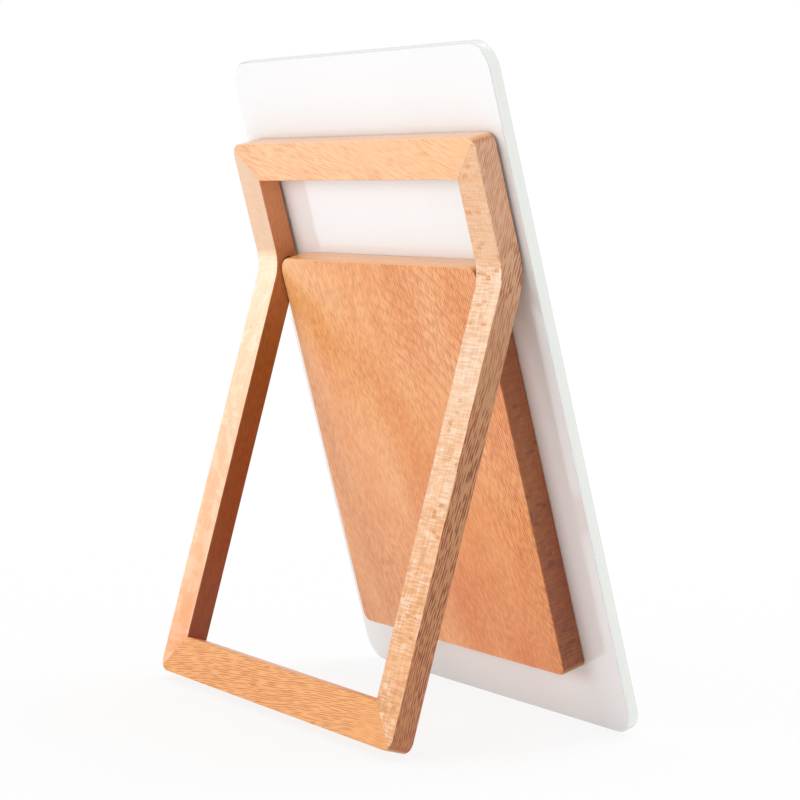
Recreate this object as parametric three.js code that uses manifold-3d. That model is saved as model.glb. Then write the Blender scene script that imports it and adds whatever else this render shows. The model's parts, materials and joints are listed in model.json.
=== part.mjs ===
// Digital photo frame: a clear-fronted white panel with a flat beech housing on its back,
// held up by an angled beech frame that is hinged at the top of the housing and folds flat.
// Millimetres, +Z up, the screen faces -Y, the object stands on z = 0.
//
// Everything is drawn in the panel's own axes and then leaned back as one group:
//   x  across, towards the viewer's right when facing the screen
//   y  depth, 0 at the panel's rear face, positive behind it
//   z  height up the panel, 0 at its bottom edge
import * as THREE from "three";
import { mergeVertices } from "three/addons/utils/BufferGeometryUtils.js";
import Module from "manifold-3d";

const wasm = await Module();
wasm.setup();

// ---------------------------------------------------------------- driving dimensions
// Panel: a clear sheet with a white sheet behind it
const PANEL_WIDTH = 220;
const PANEL_HEIGHT = 320;
const PANEL_CORNER = 13;
const SHEET_THICK = 5;
const BACKING_THICK = 0.4;
const BACKING_INSET = 0.8; // the white sheet stops this far inside the clear one
const EDGE_EASE = 0.6; // chamfer round the clear sheet
const TAPE_THICK = 0.3;
const TAPE_INSET = 3; // from the housing's sides
const TAPE_LIP = 2; // from the pocket's edge

// Screen, upright 4:3
const MODULE_WIDTH = 136;
const MODULE_HEIGHT = 174;
const BORDER_SIDE = 6; // of the screen that the white sheet covers
const BORDER_END = 5;
const CELL_THICK = 1.3;
const CELL_LIP = 4; // the tray shows this far below the glass, where the ribbon is bonded
const TRAY_THICK = 1.6;
const RIBBON_WIDTH = 20;
const RIBBON_THICK = 0.25;
const RIBBON_ALONG = 27; // its middle, from the board's left end
const SLOT_BELOW = 7.5; // the ribbon's slot in the carrier starts this far below the board
const SLOT_HEIGHT = 9;

// Housing: a beech slab hollowed from the panel side to hold the screen
const HOUSING_BOTTOM = 30;
const HOUSING_TOP_CORNER = 8;
const HOUSING_FOOT_CORNER = 4.5;
const HOUSING_EASE = 0.4; // chamfer round its two faces
const SIDE_WALL = 15;
const END_WALL = 7.75;
const REAR_WALL = 2.2;
const LEDGE_SIDE = 8;
const LEDGE_END = 14;

// Stand: a mitred frame whose side rails are angled pieces, folding round the housing
const RAIL_WIDTH = 19.2;
const TOP_RAIL_WIDTH = 18.5;
const STAND_REACH = 62.9; // from the kink up to the stand's top
const KINK_DROP = 3.1; // from the housing's top down to where a rail's rear faces would meet
const KINK_ANGLE = THREE.MathUtils.degToRad(31.4);
const KINK_RADIUS = 27; // of the rear face
const STAND_CORNER = 6;
const RAIL_EASE = 0.5; // chamfer along the rails

// Joinery and hardware
const DOWEL_DIAMETER = 4;
const DOWEL_LENGTH = 12;
const PIN_DIAMETER = 3;
const PIN_IN_HOUSING = 12;
const PIN_IN_RAIL = 10;
const SLEEVE_WALL = 1;
const WASHER_RIM = 2.5; // a washer's width round the pin
const WASHER_THICK = 0.5;
const PAD_DIAMETER = 8;
const STOP_PAD_DROP = 28; // from the stand's top
const FOOT_PAD_UP = 33; // from the foot, along the leg

// Carrier, board and what is on it
const CARRIER_THICK = 1;
const SCREW_HEAD = 3.8; // diameter of a carrier screw's head, and of its thread
const SCREW_THREAD = 2;
const SCREW_LENGTH = 6.5; // from the carrier's front to its point
const BOARD_SCREW_HEAD = 3.4;
const BOARD_SCREW_THREAD = 1.4;
const SPIGOT_DIAMETER = 2.6; // what holds a standoff in the carrier
const BOARD_HEAD_TALL = 0.6; // how far a board screw's head stands off the board
const BOARD_THICK = 1;
const BOARD_WIDTH = 76.8;
const BOARD_HEIGHT = 34;
const BOARD_UP = 28; // from the housing's bottom
const BOARD_MARGIN = 4; // from the board's edge to its screws
const STANDOFF_HEIGHT = 3.2;
const STANDOFF_DIAMETER = 4.5;
const SOCKET_UP = 7; // from the board's bottom edge
const SOCKET_WIDE = 8.9;
const SOCKET_THICK = 3.2;
const BUTTON_UP = 24; // from the board's bottom edge
const BUTTON_DIAMETER = 4.4;
const BUTTON_LIP = 0.7; // how far the button's flange stands out round it
const BUTTON_PROUD = 0.5;
const FLANGE_THICK = 0.9;
const BUTTON_ROOM = 0.8; // between the released button and the switch
const PORT_PLATE_THICK = 1.2;
const PORT_PLATE_MARGIN = 2.8; // above and below the board
const PORT_PLATE_BEHIND = 1.3; // behind the board
const PORT_SHOULDER = 2; // how far the port plate overlaps the notch round its mouth

// Clearances
const SEAT = 0.1; // between parts that sit on each other
const FIT = 0.15; // all round a pin, screw or dowel in its hole
const SLIP = 0.2; // round a part that drops into a pocket
const RIBBON_ROOM = 0.5; // between the tray and the carrier
const POCKET_ROOM = 2; // between the screen and the pocket's walls
const HEAD_ROOM = 0.2; // behind the board screws
const SIDE_GAP = 0.8; // between the housing and a side rail
const FOLD_GAP = 3.95; // between the housing and the folded bottom rail
const STAND_CLEAR = 1.4; // between the panel and the stand
const MITRE_GAP = 0.3;
const PAD_GAP = 0.3; // between a stop pad and the panel when the stand is open
const BEYOND = 2; // how far a cutter runs past the face it opens

// ---------------------------------------------------------------- worked-out values
// Depths, from the panel to the back
const SHEET_REAR = -BACKING_THICK - SEAT;
const SHEET_FRONT = SHEET_REAR - SHEET_THICK;
const TAPE_REAR = SEAT + TAPE_THICK;
const HOUSING_FRONT = TAPE_REAR + SEAT;
const CELL_FRONT = HOUSING_FRONT + SEAT;
const CELL_REAR = CELL_FRONT + CELL_THICK;
const TRAY_FRONT = CELL_REAR + SEAT;
const TRAY_REAR = TRAY_FRONT + TRAY_THICK;
const CARRIER_FRONT = TRAY_REAR + RIBBON_ROOM;
const CARRIER_REAR = CARRIER_FRONT + CARRIER_THICK;
const LEDGE = CARRIER_REAR + SEAT;
const BOARD_FRONT = CARRIER_REAR + STANDOFF_HEIGHT + 2 * SEAT;
const BOARD_REAR = BOARD_FRONT + BOARD_THICK;
const NOTCH_FLOOR = BOARD_REAR + 2 * SLIP;
const POCKET_FLOOR = BOARD_REAR + SEAT + BOARD_HEAD_TALL + HEAD_ROOM;
const HOUSING_REAR = POCKET_FLOOR + REAR_WALL;
const SOCKET_DEPTH = BOARD_FRONT - SEAT - SOCKET_THICK / 2;

// The screen and the housing round it
const WINDOW_WIDTH = MODULE_WIDTH - 2 * BORDER_SIDE;
const WINDOW_HEIGHT = MODULE_HEIGHT - 2 * BORDER_END;
const POCKET_WIDTH = MODULE_WIDTH + 2 * POCKET_ROOM;
const POCKET_HEIGHT = MODULE_HEIGHT + 2 * POCKET_ROOM;
const WELL_WIDTH = POCKET_WIDTH - 2 * LEDGE_SIDE;
const WELL_HEIGHT = POCKET_HEIGHT - 2 * LEDGE_END;
const HOUSING_WIDTH = POCKET_WIDTH + 2 * SIDE_WALL;
const HOUSING_HEIGHT = POCKET_HEIGHT + 2 * END_WALL;
const HOUSING_SIDE = HOUSING_WIDTH / 2;
const HOUSING_TOP = HOUSING_BOTTOM + HOUSING_HEIGHT;
const HOUSING_MIDDLE = (HOUSING_BOTTOM + HOUSING_TOP) / 2;
const SCREEN_BOTTOM = HOUSING_MIDDLE - MODULE_HEIGHT / 2;

// The board, which ends just behind the button in the housing's side
const PORT_PLATE_INNER = HOUSING_SIDE - PORT_PLATE_THICK;
const BUTTON_REST = PORT_PLATE_INNER - SLIP; // outer face of the button's flange
const BUTTON_BACK = BUTTON_REST - FLANGE_THICK;
const SWITCH_FACE = BUTTON_BACK - BUTTON_ROOM;
const BOARD_RIGHT = SWITCH_FACE - SEAT;
const BOARD_LEFT = BOARD_RIGHT - BOARD_WIDTH;
const BOARD_BOTTOM = HOUSING_BOTTOM + BOARD_UP;
const BOARD_TOP = BOARD_BOTTOM + BOARD_HEIGHT;
const BOARD_MIDDLE = (BOARD_BOTTOM + BOARD_TOP) / 2;
const SOCKET_HEIGHT = BOARD_BOTTOM + SOCKET_UP;
const BUTTON_HEIGHT = BOARD_BOTTOM + BUTTON_UP;
const RIBBON_MIDDLE = BOARD_LEFT + RIBBON_ALONG;
const SLOT_BOTTOM = BOARD_BOTTOM - SLOT_BELOW;
const SLOT_TOP = SLOT_BOTTOM + SLOT_HEIGHT;
const PORT_PLATE_HEIGHT = BOARD_HEIGHT + 2 * PORT_PLATE_MARGIN;
const PORT_PLATE_NEAR = HOUSING_FRONT + SLIP;
const PORT_PLATE_FAR = BOARD_REAR + PORT_PLATE_BEHIND;
const NOTCH_HEIGHT = PORT_PLATE_HEIGHT + 2 * SLIP - 2 * PORT_SHOULDER;

// The stand
const STAND_REAR = HOUSING_REAR; // the folded stand lies flush with the housing
const STAND_FRONT = STAND_CLEAR;
const STAND_THICK = STAND_REAR - STAND_FRONT;
const RAIL_INNER = HOUSING_SIDE + SIDE_GAP;
const STAND_SIDE = RAIL_INNER + RAIL_WIDTH;
const HALF_BEND = (STAND_THICK / 2) * Math.tan(KINK_ANGLE / 2);
const KINK_HEIGHT = HOUSING_TOP - KINK_DROP;
const STAND_TOP = KINK_HEIGHT + STAND_REACH;
const HINGE_DEPTH = STAND_REAR - STAND_THICK / 2;
const HINGE_HEIGHT = KINK_HEIGHT - HALF_BEND;
const FOLDED_FOOT = HOUSING_BOTTOM - FOLD_GAP - RAIL_WIDTH; // foot level with the stand folded
const LEG_LENGTH = HINGE_HEIGHT - HALF_BEND - FOLDED_FOOT; // kink to foot, along the rear face
const SLEEVE_RADIUS = PIN_DIAMETER / 2 + FIT + SLEEVE_WALL;
const WASHER_RADIUS = PIN_DIAMETER / 2 + WASHER_RIM;

// The lean is what puts the panel's rear bottom edge and the stand's front foot edge level.
const PANEL_TOE = SHEET_REAR - EDGE_EASE;
const FOOT_INSET = STAND_THICK - RAIL_EASE;
const FOOT_DEPTH =
  STAND_REAR + LEG_LENGTH * Math.sin(KINK_ANGLE) - FOOT_INSET * Math.cos(KINK_ANGLE);
const FOOT_HEIGHT =
  KINK_HEIGHT - LEG_LENGTH * Math.cos(KINK_ANGLE) - FOOT_INSET * Math.sin(KINK_ANGLE);
const LEAN = Math.atan2(FOOT_HEIGHT, FOOT_DEPTH - PANEL_TOE);

// ---------------------------------------------------------------- finishes
const finish = (color, roughness, metalness = 0) =>
  new THREE.MeshStandardMaterial({ color, roughness, metalness });
const CLEAR = finish(0xe6e8e4, 0.1);
const WHITE = finish(0xf6f5f5, 0.15);
const BEECH = finish(0xdfae7c, 0.45);
const BEECH_LIGHT = finish(0xecc9a4, 0.45);
const STEEL = finish(0xb9bcc0, 0.3, 1);
const SHEET_STEEL = finish(0xa9adb0, 0.4, 1);
const BRASS = finish(0xc9a556, 0.35, 1);
const GLASS = finish(0x14161a, 0.08);
const FOAM = finish(0x2a2a2c, 0.95);
const TRAY = finish(0xd8dadc, 0.4, 0.6);
const BOARD = finish(0x1f5a3a, 0.5);
const CHIP = finish(0x1b1c1e, 0.55);
const SHIELD = finish(0xc3c6c9, 0.3, 1);
const PLASTIC = finish(0x2c2d30, 0.5);
const GREY_PLASTIC = finish(0x8a8c8f, 0.45);
const NYLON = finish(0x111214, 0.6);
const RIBBON = finish(0xc98a3a, 0.5);
const RUBBER = finish(0x3a3a3c, 0.9);

// ---------------------------------------------------------------- solids
/** A geometry as a solid that can be joined or cut. */
function solidOf(geometry) {
  const bare = new THREE.BufferGeometry();
  bare.setAttribute("position", geometry.getAttribute("position"));
  bare.setIndex(geometry.getIndex());
  const welded = mergeVertices(bare, 1e-4);
  return new wasm.Manifold(
    new wasm.Mesh({
      numProp: 3,
      vertProperties: welded.getAttribute("position").array,
      triVerts: new Uint32Array(welded.getIndex().array),
    }),
  );
}

/** A solid as a geometry again. */
function geometryOf(solid) {
  const mesh = solid.getMesh();
  const geometry = new THREE.BufferGeometry();
  geometry.setAttribute("position", new THREE.BufferAttribute(mesh.vertProperties, 3));
  geometry.setIndex(new THREE.BufferAttribute(mesh.triVerts, 1));
  return geometry;
}

/** The first geometry with all the others taken out of it. */
const cut = (body, ...tools) =>
  geometryOf(tools.reduce((solid, tool) => solid.subtract(solidOf(tool)), solidOf(body)));

/** All the geometries as one. */
const join = (first, ...others) =>
  geometryOf(others.reduce((solid, other) => solid.add(solidOf(other)), solidOf(first)));

/** A rectangle with rounded corners, centred on (x, y); the lower corners may differ. */
function roundedRect(width, height, radius, x = 0, y = 0, lower = radius) {
  const [left, right] = [x - width / 2, x + width / 2];
  const [low, high] = [y - height / 2, y + height / 2];
  const shape = new THREE.Shape();
  shape.absarc(right - radius, high - radius, radius, 0, Math.PI / 2);
  shape.absarc(left + radius, high - radius, radius, Math.PI / 2, Math.PI);
  shape.absarc(left + lower, low + lower, lower, Math.PI, 1.5 * Math.PI);
  shape.absarc(right - lower, low + lower, lower, 1.5 * Math.PI, 2 * Math.PI);
  shape.closePath();
  return shape;
}

/** A polygon from [x, y] pairs. */
const polygon = (corners) =>
  new THREE.Shape(corners.map(([x, y]) => new THREE.Vector2(x, y)));

/** An extrusion between two ends along local z, with its edges chamfered by ease. */
function extrude(shape, length, ease, segments) {
  const geometry = new THREE.ExtrudeGeometry(shape, {
    depth: length - 2 * ease,
    bevelEnabled: ease > 0,
    bevelThickness: ease,
    bevelSize: ease,
    bevelOffset: -ease,
    bevelSegments: 1,
    curveSegments: segments,
  });
  return geometry.translate(0, 0, ease);
}

/** A front-view shape (x, z) that fills the depths from near to far. */
function slab(shape, near, far, ease = 0, segments = 6) {
  const axes = new THREE.Matrix4().makeBasis(
    new THREE.Vector3(1, 0, 0),
    new THREE.Vector3(0, 0, 1),
    new THREE.Vector3(0, -1, 0),
  );
  return extrude(shape, far - near, ease, segments).applyMatrix4(axes).translate(0, far, 0);
}

/** A side-view shape (y, z) that fills the widths from left to right. */
function bar(shape, left, right, ease = 0, segments = 6) {
  const axes = new THREE.Matrix4().makeBasis(
    new THREE.Vector3(0, 1, 0),
    new THREE.Vector3(0, 0, 1),
    new THREE.Vector3(1, 0, 0),
  );
  return extrude(shape, right - left, ease, segments).applyMatrix4(axes).translate(left, 0, 0);
}

/** A box from its limits along x, depth and height. */
function boxBetween([left, right], [near, far], [low, high]) {
  return new THREE.BoxGeometry(right - left, far - near, high - low).translate(
    (left + right) / 2,
    (near + far) / 2,
    (low + high) / 2,
  );
}

/** A round bar along x between two ends. */
const rodAcross = (radius, left, right, depth, height, sides = 20) =>
  new THREE.CylinderGeometry(radius, radius, right - left, sides)
    .rotateZ(Math.PI / 2)
    .translate((left + right) / 2, depth, height);

/** A round bar along the depth between two ends. */
const rodDeep = (radius, near, far, x, height, sides = 20) =>
  new THREE.CylinderGeometry(radius, radius, far - near, sides).translate(
    x,
    (near + far) / 2,
    height,
  );

/** A turned piece along the depth, from [radius, depth] pairs front to rear. */
const turned = (steps, x, height, sides = 16) =>
  new THREE.LatheGeometry(
    steps.map(([radius, depth]) => new THREE.Vector2(radius, depth)),
    sides,
  ).translate(x, 0, height);

/** A geometry drawn with the stand folded, moved to where the open stand has it. */
const unfold = (geometry) =>
  geometry
    .translate(0, -HINGE_DEPTH, -HINGE_HEIGHT)
    .rotateX(KINK_ANGLE)
    .translate(0, HINGE_DEPTH, HINGE_HEIGHT);

// ---------------------------------------------------------------- panel
function frontPanel() {
  const outline = roundedRect(PANEL_WIDTH, PANEL_HEIGHT, PANEL_CORNER, 0, PANEL_HEIGHT / 2);
  return slab(outline, SHEET_FRONT, SHEET_REAR, EDGE_EASE, 8);
}

function whiteBacking() {
  const outline = roundedRect(
    PANEL_WIDTH - 2 * BACKING_INSET,
    PANEL_HEIGHT - 2 * BACKING_INSET,
    PANEL_CORNER - BACKING_INSET,
    0,
    PANEL_HEIGHT / 2,
  );
  outline.holes.push(roundedRect(WINDOW_WIDTH, WINDOW_HEIGHT, 1, 0, HOUSING_MIDDLE));
  return slab(outline, -BACKING_THICK, 0);
}

/** A flat ring between the backing and what is mounted on it. */
function ring(outerWidth, outerHeight, innerWidth, innerHeight, near, far) {
  const outline = roundedRect(outerWidth, outerHeight, 3, 0, HOUSING_MIDDLE);
  outline.holes.push(roundedRect(innerWidth, innerHeight, 1, 0, HOUSING_MIDDLE));
  return slab(outline, near, far, 0, 3);
}

const panelTape = () =>
  ring(
    HOUSING_WIDTH - 2 * TAPE_INSET,
    HOUSING_HEIGHT - 2 * TAPE_INSET,
    POCKET_WIDTH + 2 * TAPE_LIP,
    POCKET_HEIGHT + 2 * TAPE_LIP,
    SEAT,
    TAPE_REAR,
  );

const displayGasket = () =>
  ring(MODULE_WIDTH, MODULE_HEIGHT, WINDOW_WIDTH + 2, WINDOW_HEIGHT + 2, SEAT, HOUSING_FRONT);

// ---------------------------------------------------------------- housing
/** Where the carrier is screwed to the ledge, as [x, z]. */
const CARRIER_SCREWS = [-1, 1].flatMap((side) =>
  [-1, 1].map((end) => [
    side * (WELL_WIDTH / 2 + LEDGE_SIDE / 2),
    HOUSING_MIDDLE + end * (WELL_HEIGHT / 2 + LEDGE_END / 2),
  ]),
);

/** A countersunk screw through the carrier, or with room all round the hole for it. */
function countersunk(x, height, room = 0) {
  const head = SCREW_HEAD / 2 + room;
  const thread = SCREW_THREAD / 2 + room;
  const face = CARRIER_FRONT + SEAT / 2 - room;
  const tip = CARRIER_FRONT + SCREW_LENGTH + room;
  return turned(
    [
      [0, face],
      [head, face],
      [thread, CARRIER_REAR - SEAT / 2],
      [thread, tip - 0.6],
      [0, tip],
    ],
    x,
    height,
  );
}

function housing() {
  const outline = roundedRect(
    HOUSING_WIDTH,
    HOUSING_HEIGHT,
    HOUSING_TOP_CORNER,
    0,
    HOUSING_MIDDLE,
    HOUSING_FOOT_CORNER,
  );
  const body = slab(outline, HOUSING_FRONT, HOUSING_REAR, HOUSING_EASE, 8);
  const pocket = slab(
    roundedRect(POCKET_WIDTH, POCKET_HEIGHT, 3, 0, HOUSING_MIDDLE),
    HOUSING_FRONT - BEYOND,
    LEDGE,
    0,
    3,
  );
  const well = slab(
    roundedRect(WELL_WIDTH, WELL_HEIGHT, 3, 0, HOUSING_MIDDLE),
    LEDGE - BEYOND,
    POCKET_FLOOR,
    0,
    3,
  );
  const notch = boxBetween(
    [WELL_WIDTH / 2 - BEYOND, HOUSING_SIDE + BEYOND],
    [HOUSING_FRONT - BEYOND, NOTCH_FLOOR],
    [BOARD_MIDDLE - NOTCH_HEIGHT / 2, BOARD_MIDDLE + NOTCH_HEIGHT / 2],
  );
  const rebate = boxBetween(
    [PORT_PLATE_INNER - SEAT, HOUSING_SIDE + BEYOND],
    [HOUSING_FRONT - BEYOND, PORT_PLATE_FAR + SLIP],
    [
      BOARD_MIDDLE - PORT_PLATE_HEIGHT / 2 - SLIP,
      BOARD_MIDDLE + PORT_PLATE_HEIGHT / 2 + SLIP,
    ],
  );
  const pinHoles = [-1, 1].map((side) => {
    const inner = side * (HOUSING_SIDE - PIN_IN_HOUSING - SLIP);
    const outer = side * (HOUSING_SIDE + BEYOND);
    return rodAcross(
      PIN_DIAMETER / 2 + FIT,
      Math.min(inner, outer),
      Math.max(inner, outer),
      HINGE_DEPTH,
      HINGE_HEIGHT,
      16,
    );
  });
  const pilots = CARRIER_SCREWS.map(([x, z]) => countersunk(x, z, FIT));
  return cut(body, pocket, well, notch, rebate, ...pinHoles, ...pilots);
}

// ---------------------------------------------------------------- screen and carrier
const lcdPanel = () =>
  slab(
    roundedRect(
      MODULE_WIDTH,
      MODULE_HEIGHT - CELL_LIP,
      1,
      0,
      HOUSING_MIDDLE + CELL_LIP / 2,
    ),
    CELL_FRONT,
    CELL_REAR,
    0,
    2,
  );

const backlight = () =>
  slab(
    roundedRect(MODULE_WIDTH, MODULE_HEIGHT, 1.5, 0, HOUSING_MIDDLE),
    TRAY_FRONT,
    TRAY_REAR,
    0.2,
    2,
  );

/** Where the board stands on the carrier, as [x, z]: all four inside the well. */
const BOARD_MOUNTS = [BOARD_LEFT + BOARD_MARGIN, WELL_WIDTH / 2 - BOARD_MARGIN].flatMap((x) => [
  [x, BOARD_BOTTOM + BOARD_MARGIN],
  [x, BOARD_TOP - BOARD_MARGIN],
]);

function carrierPlate() {
  const outline = roundedRect(
    POCKET_WIDTH - 2 * SLIP,
    POCKET_HEIGHT - 2 * SLIP,
    3,
    0,
    HOUSING_MIDDLE,
  );
  outline.holes.push(
    roundedRect(
      RIBBON_WIDTH + 4,
      SLOT_TOP - SLOT_BOTTOM,
      2,
      RIBBON_MIDDLE,
      (SLOT_BOTTOM + SLOT_TOP) / 2,
    ),
  );
  const plate = slab(outline, CARRIER_FRONT, CARRIER_REAR, 0, 3);
  const screwHoles = CARRIER_SCREWS.map(([x, z]) => countersunk(x, z, FIT));
  const spigotHoles = BOARD_MOUNTS.map(([x, z]) =>
    rodDeep(SPIGOT_DIAMETER / 2 + FIT, CARRIER_FRONT - BEYOND, CARRIER_REAR + BEYOND, x, z, 16),
  );
  return cut(plate, ...screwHoles, ...spigotHoles);
}

/** A standoff pressed into the carrier, tapped for a board screw. */
function standoff([x, z]) {
  const spigot = SPIGOT_DIAMETER / 2;
  const body = STANDOFF_DIAMETER / 2;
  const tapping = BOARD_SCREW_THREAD / 2 + FIT;
  return turned(
    [
      [0, CARRIER_FRONT + SEAT],
      [spigot, CARRIER_FRONT + SEAT],
      [spigot, CARRIER_REAR + SEAT],
      [body, CARRIER_REAR + SEAT],
      [body, BOARD_FRONT - SEAT],
      [tapping, BOARD_FRONT - SEAT],
      [tapping, CARRIER_REAR + 0.6],
      [0, CARRIER_REAR + 0.6],
    ],
    x,
    z,
  );
}

/** A pan-headed screw through the board into its standoff. */
function boardScrew([x, z]) {
  const thread = BOARD_SCREW_THREAD / 2;
  const head = BOARD_SCREW_HEAD / 2;
  const seat = BOARD_REAR + SEAT;
  return turned(
    [
      [0, BOARD_FRONT - 2.2],
      [thread, BOARD_FRONT - 2.2],
      [thread, seat],
      [head, seat],
      [head, seat + BOARD_HEAD_TALL / 2],
      [head - 0.5, seat + BOARD_HEAD_TALL],
      [0, seat + BOARD_HEAD_TALL],
    ],
    x,
    z,
  );
}

// ---------------------------------------------------------------- board
function mainBoard() {
  const outline = roundedRect(
    BOARD_RIGHT - BOARD_LEFT,
    BOARD_TOP - BOARD_BOTTOM,
    1,
    (BOARD_LEFT + BOARD_RIGHT) / 2,
    BOARD_MIDDLE,
  );
  const board = slab(outline, BOARD_FRONT, BOARD_REAR, 0, 2);
  const holes = BOARD_MOUNTS.map(([x, z]) =>
    rodDeep(BOARD_SCREW_THREAD / 2 + FIT, BOARD_FRONT - BEYOND, BOARD_REAR + BEYOND, x, z, 16),
  );
  return cut(board, ...holes);
}

/** A part on the front of the board, centred on (x, z). */
const onBoard = (width, height, tall, x, z) =>
  boxBetween(
    [x - width / 2, x + width / 2],
    [BOARD_FRONT - SEAT - tall, BOARD_FRONT - SEAT],
    [z - height / 2, z + height / 2],
  );

/** The inlet: a flattened tube with its contact tongue, open towards the housing's side. */
function usbSocket() {
  const mouth = HOUSING_SIDE - SLIP;
  const back = mouth - 7.4;
  const oval = (wide, thick) =>
    roundedRect(thick, wide, thick / 2 - 0.01, SOCKET_DEPTH, SOCKET_HEIGHT);
  const shell = bar(oval(SOCKET_WIDE, SOCKET_THICK), back, mouth, 0, 5);
  const cavity = bar(oval(8.3, 2.56), back + 1, mouth + BEYOND, 0, 5);
  const tongue = boxBetween(
    [back + 0.5, mouth - 1.2],
    [SOCKET_DEPTH - 0.35, SOCKET_DEPTH + 0.35],
    [SOCKET_HEIGHT - 3.35, SOCKET_HEIGHT + 3.35],
  );
  return join(cut(shell, cavity), tongue);
}

const powerSwitch = () =>
  boxBetween(
    [SWITCH_FACE - 4.3, SWITCH_FACE],
    [BOARD_FRONT - SEAT - 3, BOARD_FRONT - SEAT],
    [BUTTON_HEIGHT - 3.5, BUTTON_HEIGHT + 3.5],
  );

const powerButton = () =>
  join(
    rodAcross(
      BUTTON_DIAMETER / 2 + BUTTON_LIP,
      BUTTON_BACK,
      BUTTON_REST,
      SOCKET_DEPTH,
      BUTTON_HEIGHT,
    ),
    rodAcross(
      BUTTON_DIAMETER / 2,
      BUTTON_BACK + FLANGE_THICK / 2,
      HOUSING_SIDE + BUTTON_PROUD,
      SOCKET_DEPTH,
      BUTTON_HEIGHT,
    ),
  );

function portPlate() {
  const outline = roundedRect(
    PORT_PLATE_FAR - PORT_PLATE_NEAR,
    PORT_PLATE_HEIGHT,
    0.8,
    (PORT_PLATE_NEAR + PORT_PLATE_FAR) / 2,
    BOARD_MIDDLE,
  );
  const inlet = roundedRect(
    SOCKET_THICK + 2 * SLIP,
    SOCKET_WIDE + 2 * SLIP,
    SOCKET_THICK / 2,
    SOCKET_DEPTH,
    SOCKET_HEIGHT,
  );
  const across = [PORT_PLATE_INNER - BEYOND, HOUSING_SIDE + BEYOND];
  return cut(
    bar(outline, PORT_PLATE_INNER, HOUSING_SIDE, 0.2, 2),
    bar(inlet, ...across, 0, 5),
    rodAcross(BUTTON_DIAMETER / 2 + SLIP, ...across, SOCKET_DEPTH, BUTTON_HEIGHT),
  );
}

/** A strip of even thickness that follows a path in the side view. */
function strip(path, thick) {
  const normals = path.slice(1).map(([y, z], i) => {
    const along = new THREE.Vector2(y - path[i][0], z - path[i][1]).normalize();
    return new THREE.Vector2(-along.y, along.x);
  });
  const offset = (side) =>
    path.map(([y, z], i) => {
      const before = normals[Math.max(i - 1, 0)];
      const after = normals[Math.min(i, normals.length - 1)];
      const mitre = before.clone().add(after).normalize();
      const reach = (side * thick) / 2 / mitre.dot(after);
      return [y + mitre.x * reach, z + mitre.y * reach];
    });
  return polygon([...offset(1), ...offset(-1).reverse()]);
}

/** The screen's ribbon: round the bottom of the tray, through the carrier, into its connector. */
function lcdRibbon() {
  const under = SCREEN_BOTTOM - 1;
  const behind = (TRAY_REAR + CARRIER_FRONT) / 2;
  const bonded = TRAY_FRONT - 0.5;
  const path = [
    [bonded, SCREEN_BOTTOM + CELL_LIP - 0.4],
    [bonded, under + 0.5],
    [bonded + 0.6, under],
    [behind - 0.6, under],
    [behind, under + 0.6],
    [behind, SLOT_BOTTOM + 1.5],
    [BOARD_FRONT - 1.4, BOARD_BOTTOM + 0.2],
    [BOARD_FRONT - 1.4, BOARD_BOTTOM + 1.6],
  ];
  const half = RIBBON_WIDTH / 2;
  return bar(strip(path, RIBBON_THICK), RIBBON_MIDDLE - half, RIBBON_MIDDLE + half);
}

const displayConnector = () =>
  onBoard(RIBBON_WIDTH + 4, 4.2, 2, RIBBON_MIDDLE, BOARD_BOTTOM + 4.2);

// ---------------------------------------------------------------- stand
/** The side view of an angled side rail, with the ends' edges eased. */
function railProfile() {
  const e = RAIL_EASE;
  const run = KINK_RADIUS * Math.tan(KINK_ANGLE / 2);
  const centre = [STAND_REAR + KINK_RADIUS, KINK_HEIGHT + run];
  const onLeg = (along, deep) => [
    STAND_REAR + along * Math.sin(KINK_ANGLE) - deep * Math.cos(KINK_ANGLE),
    KINK_HEIGHT - along * Math.cos(KINK_ANGLE) - deep * Math.sin(KINK_ANGLE),
  ];
  const shape = new THREE.Shape();
  shape.moveTo(STAND_REAR - e, STAND_TOP);
  shape.lineTo(STAND_REAR, STAND_TOP - e);
  shape.absarc(...centre, KINK_RADIUS, Math.PI, Math.PI + KINK_ANGLE, false);
  shape.lineTo(...onLeg(LEG_LENGTH - e, 0));
  shape.lineTo(...onLeg(LEG_LENGTH, e));
  shape.lineTo(...onLeg(LEG_LENGTH, STAND_THICK - e));
  shape.lineTo(...onLeg(LEG_LENGTH - e, STAND_THICK));
  shape.absarc(...centre, KINK_RADIUS + STAND_THICK, Math.PI + KINK_ANGLE, Math.PI, true);
  shape.lineTo(STAND_FRONT, STAND_TOP - e);
  shape.lineTo(STAND_FRONT + e, STAND_TOP);
  shape.closePath();
  return shape;
}

/** The section of a cross rail whose outer edge is at one height and inner at another. */
function railSection(outer, inner) {
  const e = RAIL_EASE;
  const [low, high] = [Math.min(outer, inner), Math.max(outer, inner)];
  return polygon([
    [STAND_FRONT + e, low],
    [STAND_REAR - e, low],
    [STAND_REAR, low + e],
    [STAND_REAR, high - e],
    [STAND_REAR - e, high],
    [STAND_FRONT + e, high],
    [STAND_FRONT, high - e],
    [STAND_FRONT, low + e],
  ]);
}

/** One corner of the stand in front view, its outer point and its inner point. */
function cornerOf(side, outerHeight, innerHeight) {
  const outer = new THREE.Vector2(side * STAND_SIDE, outerHeight);
  const inner = new THREE.Vector2(side * RAIL_INNER, innerHeight);
  return { side, outer, inner, up: Math.sign(outerHeight - innerHeight) };
}

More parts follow.
